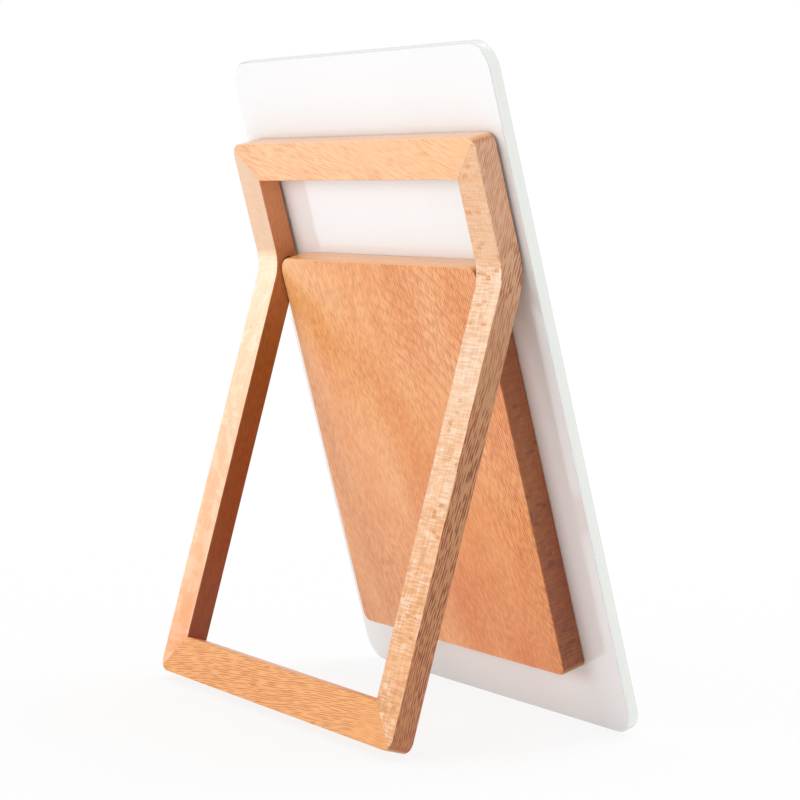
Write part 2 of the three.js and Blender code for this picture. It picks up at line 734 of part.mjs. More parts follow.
/** Everything on one side of a corner's mitre: towards the cross rail, or the side rail. */
function mitreBlock({ side, outer, inner, up }, towardsCrossRail) {
  const along = outer.clone().sub(inner).normalize();
  const across = new THREE.Vector2(-along.y, along.x).multiplyScalar(
    towardsCrossRail === side * up > 0 ? 1 : -1,
  );
  const near = across.clone().multiplyScalar(-MITRE_GAP / 2);
  const far = across.clone().multiplyScalar(2 * RAIL_WIDTH);
  const ends = [
    inner.clone().addScaledVector(along, -RAIL_WIDTH),
    outer.clone().addScaledVector(along, RAIL_WIDTH),
  ];
  const corners = [
    ends[0].clone().add(near),
    ends[1].clone().add(near),
    ends[1].clone().add(far),
    ends[0].clone().add(far),
  ];
  return slab(
    polygon(corners.map((p) => [p.x, p.y])),
    STAND_FRONT - BEYOND,
    STAND_REAR + BEYOND,
  );
}

/** What rounds a corner's outer point off. */
function cornerOffcut({ side, outer, up }) {
  const r = STAND_CORNER;
  const centre = new THREE.Vector2(outer.x - side * r, outer.y - up * r);
  const arc = Array.from({ length: 7 }, (_, i) => {
    const turn = (i / 6) * (Math.PI / 2);
    return [centre.x + side * r * Math.cos(turn), centre.y + up * r * Math.sin(turn)];
  });
  const [x, z] = [outer.x + side * BEYOND, outer.y + up * BEYOND];
  const shape = polygon([...arc, [centre.x, z], [x, z], [x, centre.y]]);
  return slab(shape, STAND_FRONT - BEYOND, STAND_REAR + BEYOND);
}

/** A dowel square to a corner's mitre, or the hole for it. */
function dowel({ side, outer, inner, up }, room = 0) {
  const along = outer.clone().sub(inner);
  const middle = outer.clone().add(inner).multiplyScalar(0.5);
  const tilt = Math.atan2(along.y, along.x);
  const radius = DOWEL_DIAMETER / 2 + room;
  const length = DOWEL_LENGTH + 2 * room;
  return new THREE.CylinderGeometry(radius, radius, length, 16)
    .rotateX(Math.PI / 2)
    .rotateY(-tilt)
    .translate(middle.x, HINGE_DEPTH, middle.y);
}

const TOP_CORNERS = [-1, 1].map((side) =>
  cornerOf(side, STAND_TOP, STAND_TOP - TOP_RAIL_WIDTH),
);
const FOOT_CORNERS = [-1, 1].map((side) =>
  cornerOf(side, FOLDED_FOOT, FOLDED_FOOT + RAIL_WIDTH),
);

function sideRail(side) {
  const [left, right] = [side * RAIL_INNER, side * STAND_SIDE].sort((a, b) => a - b);
  const body = bar(railProfile(), left, right, RAIL_EASE, 5);
  const top = TOP_CORNERS.find((corner) => corner.side === side);
  const foot = FOOT_CORNERS.find((corner) => corner.side === side);
  const holeDepth = side * (RAIL_INNER + PIN_IN_RAIL + 2 * SLIP);
  const sleeveHole = rodAcross(
    SLEEVE_RADIUS + FIT,
    Math.min(holeDepth, side * (RAIL_INNER - BEYOND)),
    Math.max(holeDepth, side * (RAIL_INNER - BEYOND)),
    HINGE_DEPTH,
    HINGE_HEIGHT,
  );
  return cut(
    body,
    mitreBlock(top, true),
    cornerOffcut(top),
    dowel(top, FIT),
    unfold(mitreBlock(foot, true)),
    unfold(cornerOffcut(foot)),
    unfold(dowel(foot, FIT)),
    sleeveHole,
  );
}

/** A cross rail in the folded plane; the foot's is moved into place afterwards. */
function crossRail(corners, outerHeight, innerHeight) {
  const body = bar(railSection(outerHeight, innerHeight), -STAND_SIDE, STAND_SIDE);
  return cut(
    body,
    ...corners.map((corner) => mitreBlock(corner, false)),
    ...corners.map((corner) => cornerOffcut(corner)),
    ...corners.map((corner) => dowel(corner, FIT)),
  );
}

const topRail = () => crossRail(TOP_CORNERS, STAND_TOP, STAND_TOP - TOP_RAIL_WIDTH);
const bottomRail = () =>
  unfold(crossRail(FOOT_CORNERS, FOLDED_FOOT, FOLDED_FOOT + RAIL_WIDTH));

/** A pin from the housing's side into the rail. */
function hingePin(side) {
  const inner = side * (HOUSING_SIDE - PIN_IN_HOUSING);
  const outer = side * (RAIL_INNER + PIN_IN_RAIL);
  return rodAcross(
    PIN_DIAMETER / 2,
    Math.min(inner, outer),
    Math.max(inner, outer),
    HINGE_DEPTH,
    HINGE_HEIGHT,
  );
}

/** A tube round the pin, from one distance off the middle to another. */
function collar(side, radius, from, to) {
  const [left, right] = [side * from, side * to].sort((a, b) => a - b);
  return cut(
    rodAcross(radius, left, right, HINGE_DEPTH, HINGE_HEIGHT),
    rodAcross(PIN_DIAMETER / 2 + FIT, left - BEYOND, right + BEYOND, HINGE_DEPTH, HINGE_HEIGHT),
  );
}

const hingeSleeve = (side) =>
  collar(side, SLEEVE_RADIUS, RAIL_INNER + SEAT, RAIL_INNER + PIN_IN_RAIL + SLIP);

function hingeWasher(side) {
  const middle = HOUSING_SIDE + SIDE_GAP / 2;
  const half = WASHER_THICK / 2;
  return collar(side, WASHER_RADIUS, middle - half, middle + half);
}

/** A rubber pad on the stand's front face. */
const stopPad = (side, height) =>
  rodDeep(
    PAD_DIAMETER / 2,
    PAD_GAP,
    STAND_FRONT - SEAT,
    side * (RAIL_INNER + RAIL_WIDTH / 2),
    height,
  );

// ---------------------------------------------------------------- assembly
const leaning = new THREE.Group();
leaning.name = "leaning";

function add(name, geometry, material) {
  const flat = geometry.getIndex() ? geometry.toNonIndexed() : geometry;
  flat.computeVertexNormals();
  const mesh = new THREE.Mesh(flat, material.clone());
  mesh.name = name;
  leaning.add(mesh);
}

const SIDES = [
  ["left", -1],
  ["right", 1],
];

function addPanel() {
  add("front_panel", frontPanel(), CLEAR);
  add("white_backing", whiteBacking(), WHITE);
  add("panel_tape", panelTape(), FOAM);
}

function addHousing() {
  add("housing", housing(), BEECH);
  add("display_gasket", displayGasket(), FOAM);
  add("lcd_panel", lcdPanel(), GLASS);
  add("backlight", backlight(), TRAY);
  add("carrier_plate", carrierPlate(), SHEET_STEEL);
  CARRIER_SCREWS.forEach(([x, z], i) => {
    add("carrier_screw_" + (i + 1), countersunk(x, z), STEEL);
  });
}

function addBoard() {
  add("main_board", mainBoard(), BOARD);
  BOARD_MOUNTS.forEach((place, i) => {
    add("standoff_" + (i + 1), standoff(place), BRASS);
    add("board_screw_" + (i + 1), boardScrew(place), STEEL);
  });
  add("processor", onBoard(14, 14, 1.4, BOARD_LEFT + 25, BOARD_MIDDLE + 3), CHIP);
  add("memory_chip", onBoard(9, 13, 1.2, BOARD_LEFT + 41, BOARD_MIDDLE + 3), CHIP);
  add("wifi_module", onBoard(13, 16, 2.2, BOARD_RIGHT - 14.3, BOARD_MIDDLE + 1), SHIELD);
  add("display_connector", displayConnector(), PLASTIC);
  add("lcd_ribbon", lcdRibbon(), RIBBON);
  add("usb_socket", usbSocket(), SHIELD);
  add("power_switch", powerSwitch(), PLASTIC);
  add("port_plate", portPlate(), PLASTIC);
  add("power_button", powerButton(), GREY_PLASTIC);
}

function addStand() {
  add("top_rail", topRail(), BEECH_LIGHT);
  add("bottom_rail", bottomRail(), BEECH);
  for (const [name, side] of SIDES) {
    const top = TOP_CORNERS.find((corner) => corner.side === side);
    const foot = FOOT_CORNERS.find((corner) => corner.side === side);
    add(name + "_rail", sideRail(side), BEECH_LIGHT);
    add("top_dowel_" + name, dowel(top), BEECH);
    add("foot_dowel_" + name, unfold(dowel(foot)), BEECH);
    add("hinge_pin_" + name, hingePin(side), STEEL);
    add("hinge_sleeve_" + name, hingeSleeve(side), BRASS);
    add("hinge_washer_" + name, hingeWasher(side), NYLON);
    add("stop_pad_" + name, stopPad(side, STAND_TOP - STOP_PAD_DROP), RUBBER);
    add("foot_pad_" + name, unfold(stopPad(side, FOLDED_FOOT + FOOT_PAD_UP)), RUBBER);
  }
}

addPanel();
addHousing();
addBoard();
addStand();

// The object stands on z = 0 with its origin under the middle of its box.
leaning.rotation.x = -LEAN;
const root = new THREE.Group();
root.name = "digital_photo_frame";
root.add(leaning);
const box = new THREE.Box3().setFromObject(root, true);
leaning.position.set(0, -(box.min.y + box.max.y) / 2, -box.min.z);

export default root;
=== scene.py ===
"""A digital photo frame that leans on an angled beech stand: its looks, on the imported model.

The panel is a clear sheet with a white sheet behind it, a beech housing on its back holds the
screen, and a mitred beech stand is hinged to the housing. Metres, +Z up, the screen faces -Y.
"""

import json
import logging
import math
from abc import ABC, abstractmethod
from collections.abc import Callable, Iterable, Sequence
from dataclasses import dataclass, field
from enum import Enum

import bmesh
import bpy
from mathutils import Matrix, Vector


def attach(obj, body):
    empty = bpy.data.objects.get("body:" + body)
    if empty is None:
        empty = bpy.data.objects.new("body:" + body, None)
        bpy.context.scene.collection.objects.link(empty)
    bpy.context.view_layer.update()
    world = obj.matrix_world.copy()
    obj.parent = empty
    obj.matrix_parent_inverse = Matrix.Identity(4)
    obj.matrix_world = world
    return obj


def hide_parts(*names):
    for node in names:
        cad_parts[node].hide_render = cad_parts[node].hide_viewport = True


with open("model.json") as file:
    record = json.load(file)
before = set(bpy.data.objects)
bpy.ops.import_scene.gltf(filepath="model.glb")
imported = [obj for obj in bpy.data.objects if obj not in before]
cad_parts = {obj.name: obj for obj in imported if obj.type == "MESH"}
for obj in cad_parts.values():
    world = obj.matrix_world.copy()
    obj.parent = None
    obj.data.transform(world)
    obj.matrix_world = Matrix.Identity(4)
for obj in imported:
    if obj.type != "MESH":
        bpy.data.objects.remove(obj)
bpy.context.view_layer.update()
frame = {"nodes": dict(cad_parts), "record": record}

LOG = logging.getLogger("photo_frame")
MM = 0.001
PAST = 1 * MM  # how far a cutting shape reaches past what it cuts
SAME_PLACE = 0.000002  # points nearer than this, in metres, are joined after a cut
SAME_WAY = 0.999  # two directions whose cosine is over this count as one
Colour = tuple[float, float, float, float]
Value = float | Sequence[float] | bpy.types.NodeSocket


def shade(red: int, green: int, blue: int) -> Colour:
    """A display colour as the linear colour that a shader takes.

    Args:
        red: Its red, 0 to 255.
        green: Its green, 0 to 255.
        blue: Its blue, 0 to 255.

    Returns:
        The linear colour, opaque.
    """

    def linear(level: int) -> float:
        """One channel's linear value."""
        share = level / 255
        return share / 12.92 if share <= 0.04045 else ((share + 0.055) / 1.055) ** 2.4

    return (linear(red), linear(green), linear(blue), 1.0)


# ---------------------------------------------------------------- axes
@dataclass(frozen=True)
class Axes:
    """Axes through the hinge: x across, y out of the back, z up, turned about x by a tilt.

    Attributes:
        origin: The hinge's middle in the row frame.
        tilt: Turn about x in radians.
    """

    origin: Vector
    tilt: float

    @property
    def matrix(self) -> Matrix:
        """The matrix from these axes to the row frame."""
        return Matrix.Translation(self.origin) @ Matrix.Rotation(self.tilt, 4, "X")

    def direction(self, x: float, y: float, z: float) -> Vector:
        """A direction given in these axes, in the row frame."""
        return (self.matrix.to_3x3() @ Vector((x, y, z))).normalized()

    def box(self, *names: str) -> tuple[Vector, Vector]:
        """The lowest and highest corners of CAD nodes, measured along these axes.

        Args:
            *names: The nodes' names.

        Returns:
            The two corners, in these axes.
        """
        back = self.matrix.inverted()
        points = [back @ v.co for n in names for v in frame["nodes"][n].data.vertices]
        low = Vector(min(p[k] for p in points) for k in range(3))
        high = Vector(max(p[k] for p in points) for k in range(3))
        return low, high


def joint(name: str) -> dict:
    """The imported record's joint of that name."""
    return next(j for j in frame["record"]["behaviour"]["joints"] if j["name"] == name)


def mount(name: str) -> dict:
    """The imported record's mount of that name."""
    return next(m for m in frame["record"]["mounts"] if m["name"] == name)


HINGE = Vector(joint("stand_fold")["pos_m"])
OUTWARD = Vector(mount("housing_rear")["axis"])
LEAN = math.atan2(-OUTWARD.z, OUTWARD.y)
FOLD = math.radians(joint("stand_fold")["range_deg"][1])
PANEL = Axes(HINGE, -LEAN)  # along the panel, the housing and the stand's upper part
LEG = Axes(HINGE, FOLD - LEAN)  # along the stand's legs
BEND_FOOT = HINGE.z - 0.05  # the painted shade on the wood's sides that look to -X changes from this height to this one, round the stand's bend
BEND_TOP = HINGE.z + 0.04  # to this one, round the stand's bend


# ---------------------------------------------------------------- node trees
class Tree:
    """A node tree that is built by short calls.

    Args:
        tree: The tree to fill. What it holds is removed first.
    """

    def __init__(self, tree: bpy.types.NodeTree) -> None:
        """Keeps the tree and empties it."""
        self.tree = tree
        tree.nodes.clear()

    def add(self, kind: str, inputs: dict | None = None, **settings: object) -> bpy.types.Node:
        """Adds a node.

        Args:
            kind: The node's type name.
            inputs: Values or sockets for its inputs, by name or number.
            **settings: The node's own properties.

        Returns:
            The new node.
        """
        node = self.tree.nodes.new(kind)
        for name, value in settings.items():
            setattr(node, name, value)
        for key, value in (inputs or {}).items():
            if isinstance(value, bpy.types.NodeSocket):
                self.tree.links.new(value, node.inputs[key])
            else:
                node.inputs[key].default_value = value
        return node

    def maths(self, operation: str, a: Value, b: Value = 0.0, c: Value = 0.0) -> bpy.types.NodeSocket:
        """The result of one sum on numbers, such as ADD or MULTIPLY."""
        return self.add("ShaderNodeMath", {0: a, 1: b, 2: c}, operation=operation).outputs[0]

    def vectors(self, operation: str, a: Value, b: Value = (0, 0, 0)) -> bpy.types.NodeOutputs:
        """The outputs of one sum on vectors, which are its Vector and its Value."""
        return self.add("ShaderNodeVectorMath", {0: a, 1: b}, operation=operation).outputs

    def split(self, vector: Value) -> bpy.types.NodeOutputs:
        """The X, Y and Z of a vector."""
        return self.add("ShaderNodeSeparateXYZ", {0: vector}).outputs

    def spread(self, value: Value, low: float, high: float, to_low: float = 0.0,
               to_high: float = 1.0) -> bpy.types.NodeSocket:
        """A value eased from one range to another and held at its ends."""
        settings = {"Value": value, "From Min": low, "From Max": high, "To Min": to_low, "To Max": to_high}
        return self.add("ShaderNodeMapRange", settings, interpolation_type="SMOOTHSTEP").outputs[0]

    def mix(self, factor: Value, a: Value, b: Value, blend: str = "MIX") -> bpy.types.NodeSocket:
        """Two colours mixed by a factor, on the sockets that a mix keeps for colours."""
        inputs = {0: factor, 6: a, 7: b}
        return self.add("ShaderNodeMix", inputs, data_type="RGBA", blend_type=blend).outputs[2]

    def scaled(self, vector: Value, scale: Sequence[float],
               place: Sequence[float] = (0, 0, 0)) -> bpy.types.NodeSocket:
        """A vector scaled along each axis and moved."""
        inputs = {"Vector": vector, "Scale": scale, "Location": place}
        return self.add("ShaderNodeMapping", inputs).outputs[0]

    def noise(self, vector: Value, scale: float = 1.0, detail: float = 2.0,
              roughness: float = 0.5, distortion: float = 0.0) -> bpy.types.NodeSocket:
        """Smooth noise from 0 to 1."""
        inputs = {"Vector": vector, "Scale": scale, "Detail": detail, "Roughness": roughness,
                  "Distortion": distortion}
        return self.add("ShaderNodeTexNoise", inputs).outputs["Fac"]

    def bump(self, height: Value, depth: float, strength: float) -> bpy.types.NodeSocket:
        """A bumped normal, with the relief's depth in metres."""
        inputs = {"Height": height, "Distance": depth, "Strength": strength}
        return self.add("ShaderNodeBump", inputs).outputs[0]

    def on_object(self) -> bpy.types.NodeSocket:
        """The place on the surface, in the row frame."""
        return self.add("ShaderNodeTexCoord").outputs["Object"]

    def on_panel(self, middle: Sequence[float] = (0, 0, 0)) -> bpy.types.NodeSocket:
        """The place on the surface, in the panel's axes.

        Args:
            middle: The point of those axes that it is counted from.

        Returns:
            The place.
        """
        back = PANEL.matrix.inverted()
        return self.add("ShaderNodeMapping", {
            "Vector": self.on_object(),
            "Rotation": back.to_euler(),
            "Location": back.to_translation() - Vector(middle),
        }).outputs[0]

    def seen(self) -> bpy.types.NodeSocket:
        """Tells the rays that show a background from those that only light the object.

        Returns:
            1 for a ray from the camera, a mirror or glass, and 0 for any other.
        """
        path = self.add("ShaderNodeLightPath").outputs
        both = self.maths("MAXIMUM", path["Is Glossy Ray"], path["Is Transmission Ray"])
        return self.maths("MAXIMUM", path["Is Camera Ray"], both)

    def principled(self, inputs: dict) -> None:
        """Ends the material in a Principled shader with these inputs."""
        self.end(self.add("ShaderNodeBsdfPrincipled", inputs))

    def blend(self, share: Value, first: bpy.types.Node, second: bpy.types.Node) -> None:
        """Ends the material in a mix of two shaders, with this share of the second."""
        inputs = {0: share, 1: first.outputs[0], 2: second.outputs[0]}
        self.end(self.add("ShaderNodeMixShader", inputs))

    def end(self, shader: bpy.types.Node) -> None:
        """Wires a shader to the material's output."""
        self.add("ShaderNodeOutputMaterial", {"Surface": shader.outputs[0]})


# ---------------------------------------------------------------- finishes
@dataclass(frozen=True)
class Finish(ABC):
    """A finish, which one procedural material gives.

    Attributes:
        name: The material's name.
    """

    name: str

    @abstractmethod
    def fill(self, tree: Tree) -> None:
        """Fills the material's empty node tree."""

    def make(self) -> bpy.types.Material:
        """Builds the material.

        Returns:
            The new material.
        """
        made = bpy.data.materials.new(self.name)
        made.use_nodes = True
        self.fill(Tree(made.node_tree))
        return made


@dataclass(frozen=True)
class Beech(Finish):
    """Beech with a clear satin finish, as a solid pattern that every face of a piece cuts.

    Rays run out from the pith: they show as short dark dashes on a face square to them, and as
    a fine weave with bars across the grain on a face that holds them. Light is painted into the
    colour as well: shade on the faces looking to -X and deeper tone where less light falls, a
    paler sheen between the dashes, and a sheen on the end grain where a pale end tone is given.

    Attributes:
        pale: Lightest tone.
        deep: Deepest tone of the growth bands.
        fleck: Tone of the rays.
        painted_side_shade: Painted shade that the faces looking to -X are multiplied by, above the hinge.
        painted_low_side_shade: The same painted shade near the floor.
        grain: Direction of the grain in the row frame.
        rays: Direction of the rays in the row frame.
        dash: Length of a dash and the distance between rows of dashes, in metres.
        dash_tone: Tone of the dashes, the rays' tone unless it is given.
        share: How densely the dashes stand, 0 to 1.
        depth: How strongly the dashes show at the hinge, 0 to 1.
        weave: Strength of the weave and its blocks, 0 to 1.
        band: Width of a growth band in metres.
        band_depth: How strongly the growth bands show, 0 to 1.
        cloud: Strength of the broad tone changes, 0 to 1.
        painted_shade_slope: How much the tone deepens in each direction, for each metre from the hinge:
            painted shade, darker where less light falls.
        end_grain: How strongly the end grain shows, 0 to 1.
        end_grain_and_sheen_tone: Tone of the end grain, the rays' tone unless it is given. A pale one
            given here is a painted sheen.
        rings: Where fine growth lines show, in the panel's axes. None leaves them out.
        lacquer: Weight of the clear coat, 0 to 1.
        place: Offset of the pattern, so that no two pieces match.
    """

    pale: Colour
    deep: Colour
    fleck: Colour
    painted_side_shade: Colour
    painted_low_side_shade: Colour
    grain: Vector
    rays: Vector
    dash: tuple[float, float] = (0.004, 0.0009)
    dash_tone: Colour | None = None
    share: float = 0.5
    depth: float = 0.5
    weave: float = 0.0
    band: float = 0.004
    band_depth: float = 0.35
    cloud: float = 0.3
    painted_shade_slope: tuple[float, float, float] = (0.0, 0.0, 0.0)
    end_grain: float = 0.85
    end_grain_and_sheen_tone: Colour | None = None
    rings: tuple[float, float, float] | None = None
    lacquer: float = 0.5
    place: tuple[float, float, float] = (0.0, 0.0, 0.0)

    def turn(self) -> Matrix:
        """The turn from the row frame to the timber's axes.

        Returns:
            A matrix whose rows are the grain, the rays, and the way across both.
        """
        grain = self.grain.normalized()
        rays = (self.rays - self.rays.dot(grain) * grain).normalized()
        return Matrix((grain, rays, grain.cross(rays)))

    def timber(self, tree: Tree, coords: bpy.types.Node) -> bpy.types.NodeSocket:
        """The place in the timber's axes, with the grain wandering a little.

        Args:
            tree: The material's node tree.
            coords: Its texture coordinates.

        Returns:
            The place, in metres.
        """
        turned = tree.add("ShaderNodeMapping", {
            "Vector": coords.outputs["Object"],
            "Rotation": self.turn().to_euler(),
            "Location": self.place,
        }).outputs[0]
        bend = tree.noise(tree.scaled(turned, (5, 7, 7)), detail=0)
        ripple = tree.noise(tree.scaled(turned, (14, 24, 24)), detail=1)
        wander, waver = 0.03, 0.006  # metres that the grain drifts, over a long and a short run
        drift = tree.maths("MULTIPLY_ADD", bend, wander, tree.maths("MULTIPLY", ripple, waver))
        shift = tree.add("ShaderNodeCombineXYZ", {"Y": drift, "Z": drift}).outputs[0]
        return tree.vectors("ADD", turned, shift)["Vector"]

    def facing(self, tree: Tree, coords: bpy.types.Node, axis: Vector,
               both_ways: bool = True) -> bpy.types.NodeSocket:
        """How squarely a face looks along an axis, 0 to 1.

        Args:
            tree: The material's node tree.
            coords: Its texture coordinates.
            axis: The axis.
            both_ways: True if looking against the axis counts too.

        Returns:
            The share.
        """
        edge_on, face_on = 0.3, 0.75
        value = tree.vectors("DOT_PRODUCT", coords.outputs["Normal"], axis)["Value"]
        return tree.spread(tree.maths("ABSOLUTE", value) if both_ways else value, edge_on, face_on)

    def rows(self, tree: Tree, place: Value) -> bpy.types.NodeSocket:
        """Wavy rows of dashes drawn out along the grain.

        Args:
            tree: The material's node tree.
            place: The place in the timber's axes.

        Returns:
            About 0.5 on average, more in a dash and less in the gaps beside it.
        """
        long, apart = self.dash
        inward = 60  # the noise's scale along the rays
        swing = 6  # radians that the rows sway by
        regular = 0.2  # how far the even rows rule over the noise
        sway = tree.noise(tree.scaled(place, (0.7 / long, inward, 0.3 / apart)), detail=1)
        across = tree.split(place)["Z"]
        turns = tree.maths("MULTIPLY_ADD", across, math.tau / apart, tree.maths("MULTIPLY", sway, swing))
        broken = tree.noise(tree.scaled(place, (1 / long, inward, 1.3 / apart)), detail=0)
        return tree.maths("MULTIPLY_ADD", tree.maths("SINE", turns), regular, broken)

    def dashes(self, tree: Tree, place: Value, rows: Value) -> bpy.types.NodeSocket:
        """The rays seen end on: short wavy dashes along the grain, fainter in places.

        Args:
            tree: The material's node tree.
            place: The place in the timber's axes.
            rows: The rows of dashes.

        Returns:
            1 in the clearest dash and 0 outside the dashes.
        """
        level, faintest = 0.72 - 0.15 * self.share, 0.45
        mark = tree.spread(rows, level - 0.04, level + 0.08)
        patch = tree.noise(tree.scaled(place, (14, 40, 30)), detail=2)
        return tree.maths("MULTIPLY", mark, tree.spread(patch, 0.35, 0.6, faintest, 1.0))

    def blocks(self, tree: Tree, place: Value) -> bpy.types.NodeSocket:
        """Rays seen from the side: scattered small blocks with ragged edges.

        Args:
            tree: The material's node tree.
            place: The place in the timber's axes.

        Returns:
            1 in a block and 0 outside the blocks.
        """
        size, ragged = (0.0017, 0.0034, 0.02), 0.0012  # metres
        wobble = tree.noise(tree.scaled(place, (700, 700, 700)), detail=1)
        shaken = tree.maths("MULTIPLY_ADD", wobble, ragged, -ragged / 2)
        cell = tree.vectors("SNAP", tree.vectors("ADD", place, shaken)["Vector"], size)["Vector"]
        pick = tree.add("ShaderNodeTexWhiteNoise", {"Vector": cell},
                        noise_dimensions="3D").outputs["Value"]
        crowd = tree.noise(tree.scaled(place, (45, 45, 20), (4, 1, 6)), detail=1)
        return tree.spread(tree.maths("MULTIPLY_ADD", crowd, 0.5, pick), 1.16, 1.24)

    def net(self, tree: Tree, place: Value) -> bpy.types.NodeSocket:
        """The faces that hold the rays: a weave of fine lines with blocks in it.

        Args:
            tree: The material's node tree.
            place: The place in the timber's axes.

        Returns:
            How much of the rays' tone shows.
        """
        warp = tree.spread(tree.noise(tree.scaled(place, (130, 800, 500)), detail=0), 0.4, 0.6, 0.2, 0.8)
        weft = tree.spread(tree.noise(tree.scaled(place, (1300, 110, 400)), detail=0), 0.4, 0.6)
        patch = tree.noise(tree.scaled(place, (50, 60, 25)), detail=1)
        patchy = tree.spread(patch, 0.35, 0.65, 0.25, 0.35)
        cloth = tree.maths("MULTIPLY", tree.maths("ADD", warp, weft), patchy)
        block_strength = 0.5
        return tree.maths("MULTIPLY_ADD", self.blocks(tree, place), block_strength, cloth)

    def growth(self, tree: Tree, coords: bpy.types.Node) -> bpy.types.NodeSocket:
        """Fine growth lines, wide rings round a far heart, which show in one patch only.

        Args:
            tree: The material's node tree.
            coords: Its texture coordinates.

        Returns:
            1 on a line and 0 off it.
        """
        radius, gap, full, gone = 0.2, 0.0062, 0.025, 0.07  # metres
        swing = 14  # radians that the rings sway by
        patch = PANEL.matrix @ Vector(self.rings)
        heart = patch - PANEL.direction(-0.58, 0, 0.81) * radius
        place = coords.outputs["Object"]
        far, near = [tree.vectors("DISTANCE", place, point)["Value"] for point in (heart, patch)]
        sway = tree.noise(tree.scaled(place, (16, 16, 16)), detail=2)
        turns = tree.maths("MULTIPLY_ADD", far, math.tau / gap, tree.maths("MULTIPLY", sway, swing))
        line = tree.spread(tree.maths("SINE", turns), 0.5, 1.0)
        return tree.maths("MULTIPLY", line, tree.spread(near, full, gone, 1.0, 0.0))

    def tone(self, tree: Tree, painted_shade: Value, place: Value, fibre: Value,
             rows: Value) -> bpy.types.NodeSocket:
        """How deep the wood's tone is, 0 for the palest and 1 for the deepest, painted shade and painted
        sheen included.

        Args:
            tree: The material's node tree.
            painted_shade: How much deeper the tone is here than at the hinge, which is painted shade.
            place: The place in the timber's axes.
            fibre: The finest lines.
            rows: The rows of dashes.

        Returns:
            The tone.
        """
        haze = tree.noise(tree.scaled(place, (10, 24, 24)), detail=2, distortion=0.5)
        cloud = tree.spread(haze, 0.3, 0.7)
        year = tree.noise(tree.scaled(place, (2, 1 / self.band, 26)), detail=2)
        band = tree.spread(year, 0.3, 0.7)
        # Painted sheen: the gaps beside the dashes are made paler, for the rays' shimmer.
        painted_sheen = tree.spread(rows, 0.3, 0.5, 1, 0)
        total = tree.maths("MULTIPLY_ADD", band, self.band_depth, painted_shade)
        total = tree.maths("MULTIPLY_ADD", cloud, self.cloud, total)
        total = tree.maths("MULTIPLY_ADD", painted_sheen, -0.5 * self.depth, total)
        fine = 0.8
        return tree.maths("ADD", total, tree.maths("MULTIPLY_ADD", fibre, fine, -fine / 2))

    def woven(self, tree: Tree, coords: bpy.types.Node, place: Value, square: Value,
              height: Value) -> Value:
        """The weave and the fine growth lines, as far as this timber has them.

        Args:
            tree: The material's node tree.
            coords: Its texture coordinates.
            place: The place in the timber's axes.
            square: How squarely the face looks along the rays, 0 to 1.
            height: The height above the floor.

        Returns:
            How much of the rays' tone shows.
        """
        boldest, line_strength = 1.9, 0.24
        shown = 0.0
        if self.weave:
            bold = tree.spread(height, 0.0, BEND_FOOT, boldest, 1.0)
            held = tree.maths("MULTIPLY_ADD", square, -self.weave, self.weave)
            share = tree.maths("MULTIPLY", held, bold)
            shown = tree.maths("MULTIPLY", self.net(tree, place), share)
        if self.rings:
            shown = tree.maths("MULTIPLY_ADD", self.growth(tree, coords), line_strength, shown)
        return shown

    def fill(self, tree: Tree) -> None:
        """Fills the material's node tree.

        Args:
            tree: The node tree.
        """
        coords = tree.add("ShaderNodeTexCoord")
        place = self.timber(tree, coords)
        along, out, _ = self.turn()
        fibre = tree.noise(tree.scaled(place, (90, 1900, 1900)), detail=3, roughness=0.6)
        square = self.facing(tree, coords, Vector(out))
        rows = self.rows(tree, place)
        from_hinge = tree.vectors("SUBTRACT", coords.outputs["Object"], HINGE)["Vector"]
        # Painted shade: the tone deepens with the distance from the hinge, and the dashes show more where
        # it does.
        painted_shade = tree.vectors("DOT_PRODUCT", from_hinge, self.painted_shade_slope)["Value"]
        shown = tree.maths("MULTIPLY", square, tree.maths("MULTIPLY_ADD", painted_shade, self.depth, self.depth))
        marks = tree.maths("MULTIPLY", self.dashes(tree, place, rows), shown)
        height = tree.split(coords.outputs["Object"])["Z"]
        woven = self.woven(tree, coords, place, square, height)

        tone = self.tone(tree, painted_shade, place, fibre, rows)
        coloured = tree.mix(woven, tree.mix(tone, self.pale, self.deep), self.fleck)
        coloured = tree.mix(marks, coloured, self.dash_tone or self.fleck)
        # End grain takes the rays' tone unless an end tone is given; the housing's pale end tone is a
        # painted sheen on its top face.
        end = tree.maths("MULTIPLY", self.facing(tree, coords, Vector(along)), self.end_grain)
        coloured = tree.mix(end, coloured, self.end_grain_and_sheen_tone or self.fleck)
        # Painted shade: faces looking to -X are multiplied by a darker colour, one near the floor and
        # another above the bend.
        raised = tree.spread(height, BEND_FOOT, BEND_TOP)
        side = self.facing(tree, coords, Vector((-1, 0, 0)), both_ways=False)
        coloured = tree.mix(side, coloured, tree.mix(raised, self.painted_low_side_shade, self.painted_side_shade), "MULTIPLY")

        relief = tree.maths("MULTIPLY_ADD", tree.maths("ADD", marks, woven), -0.1, fibre)
        tree.principled({
            "Base Color": coloured,
            "Roughness": tree.maths("MULTIPLY_ADD", fibre, 0.14, 0.31),
            "Normal": tree.bump(relief, 0.00005, 0.5),
            "Coat Weight": self.lacquer,
            "Coat Roughness": 0.22,
        })


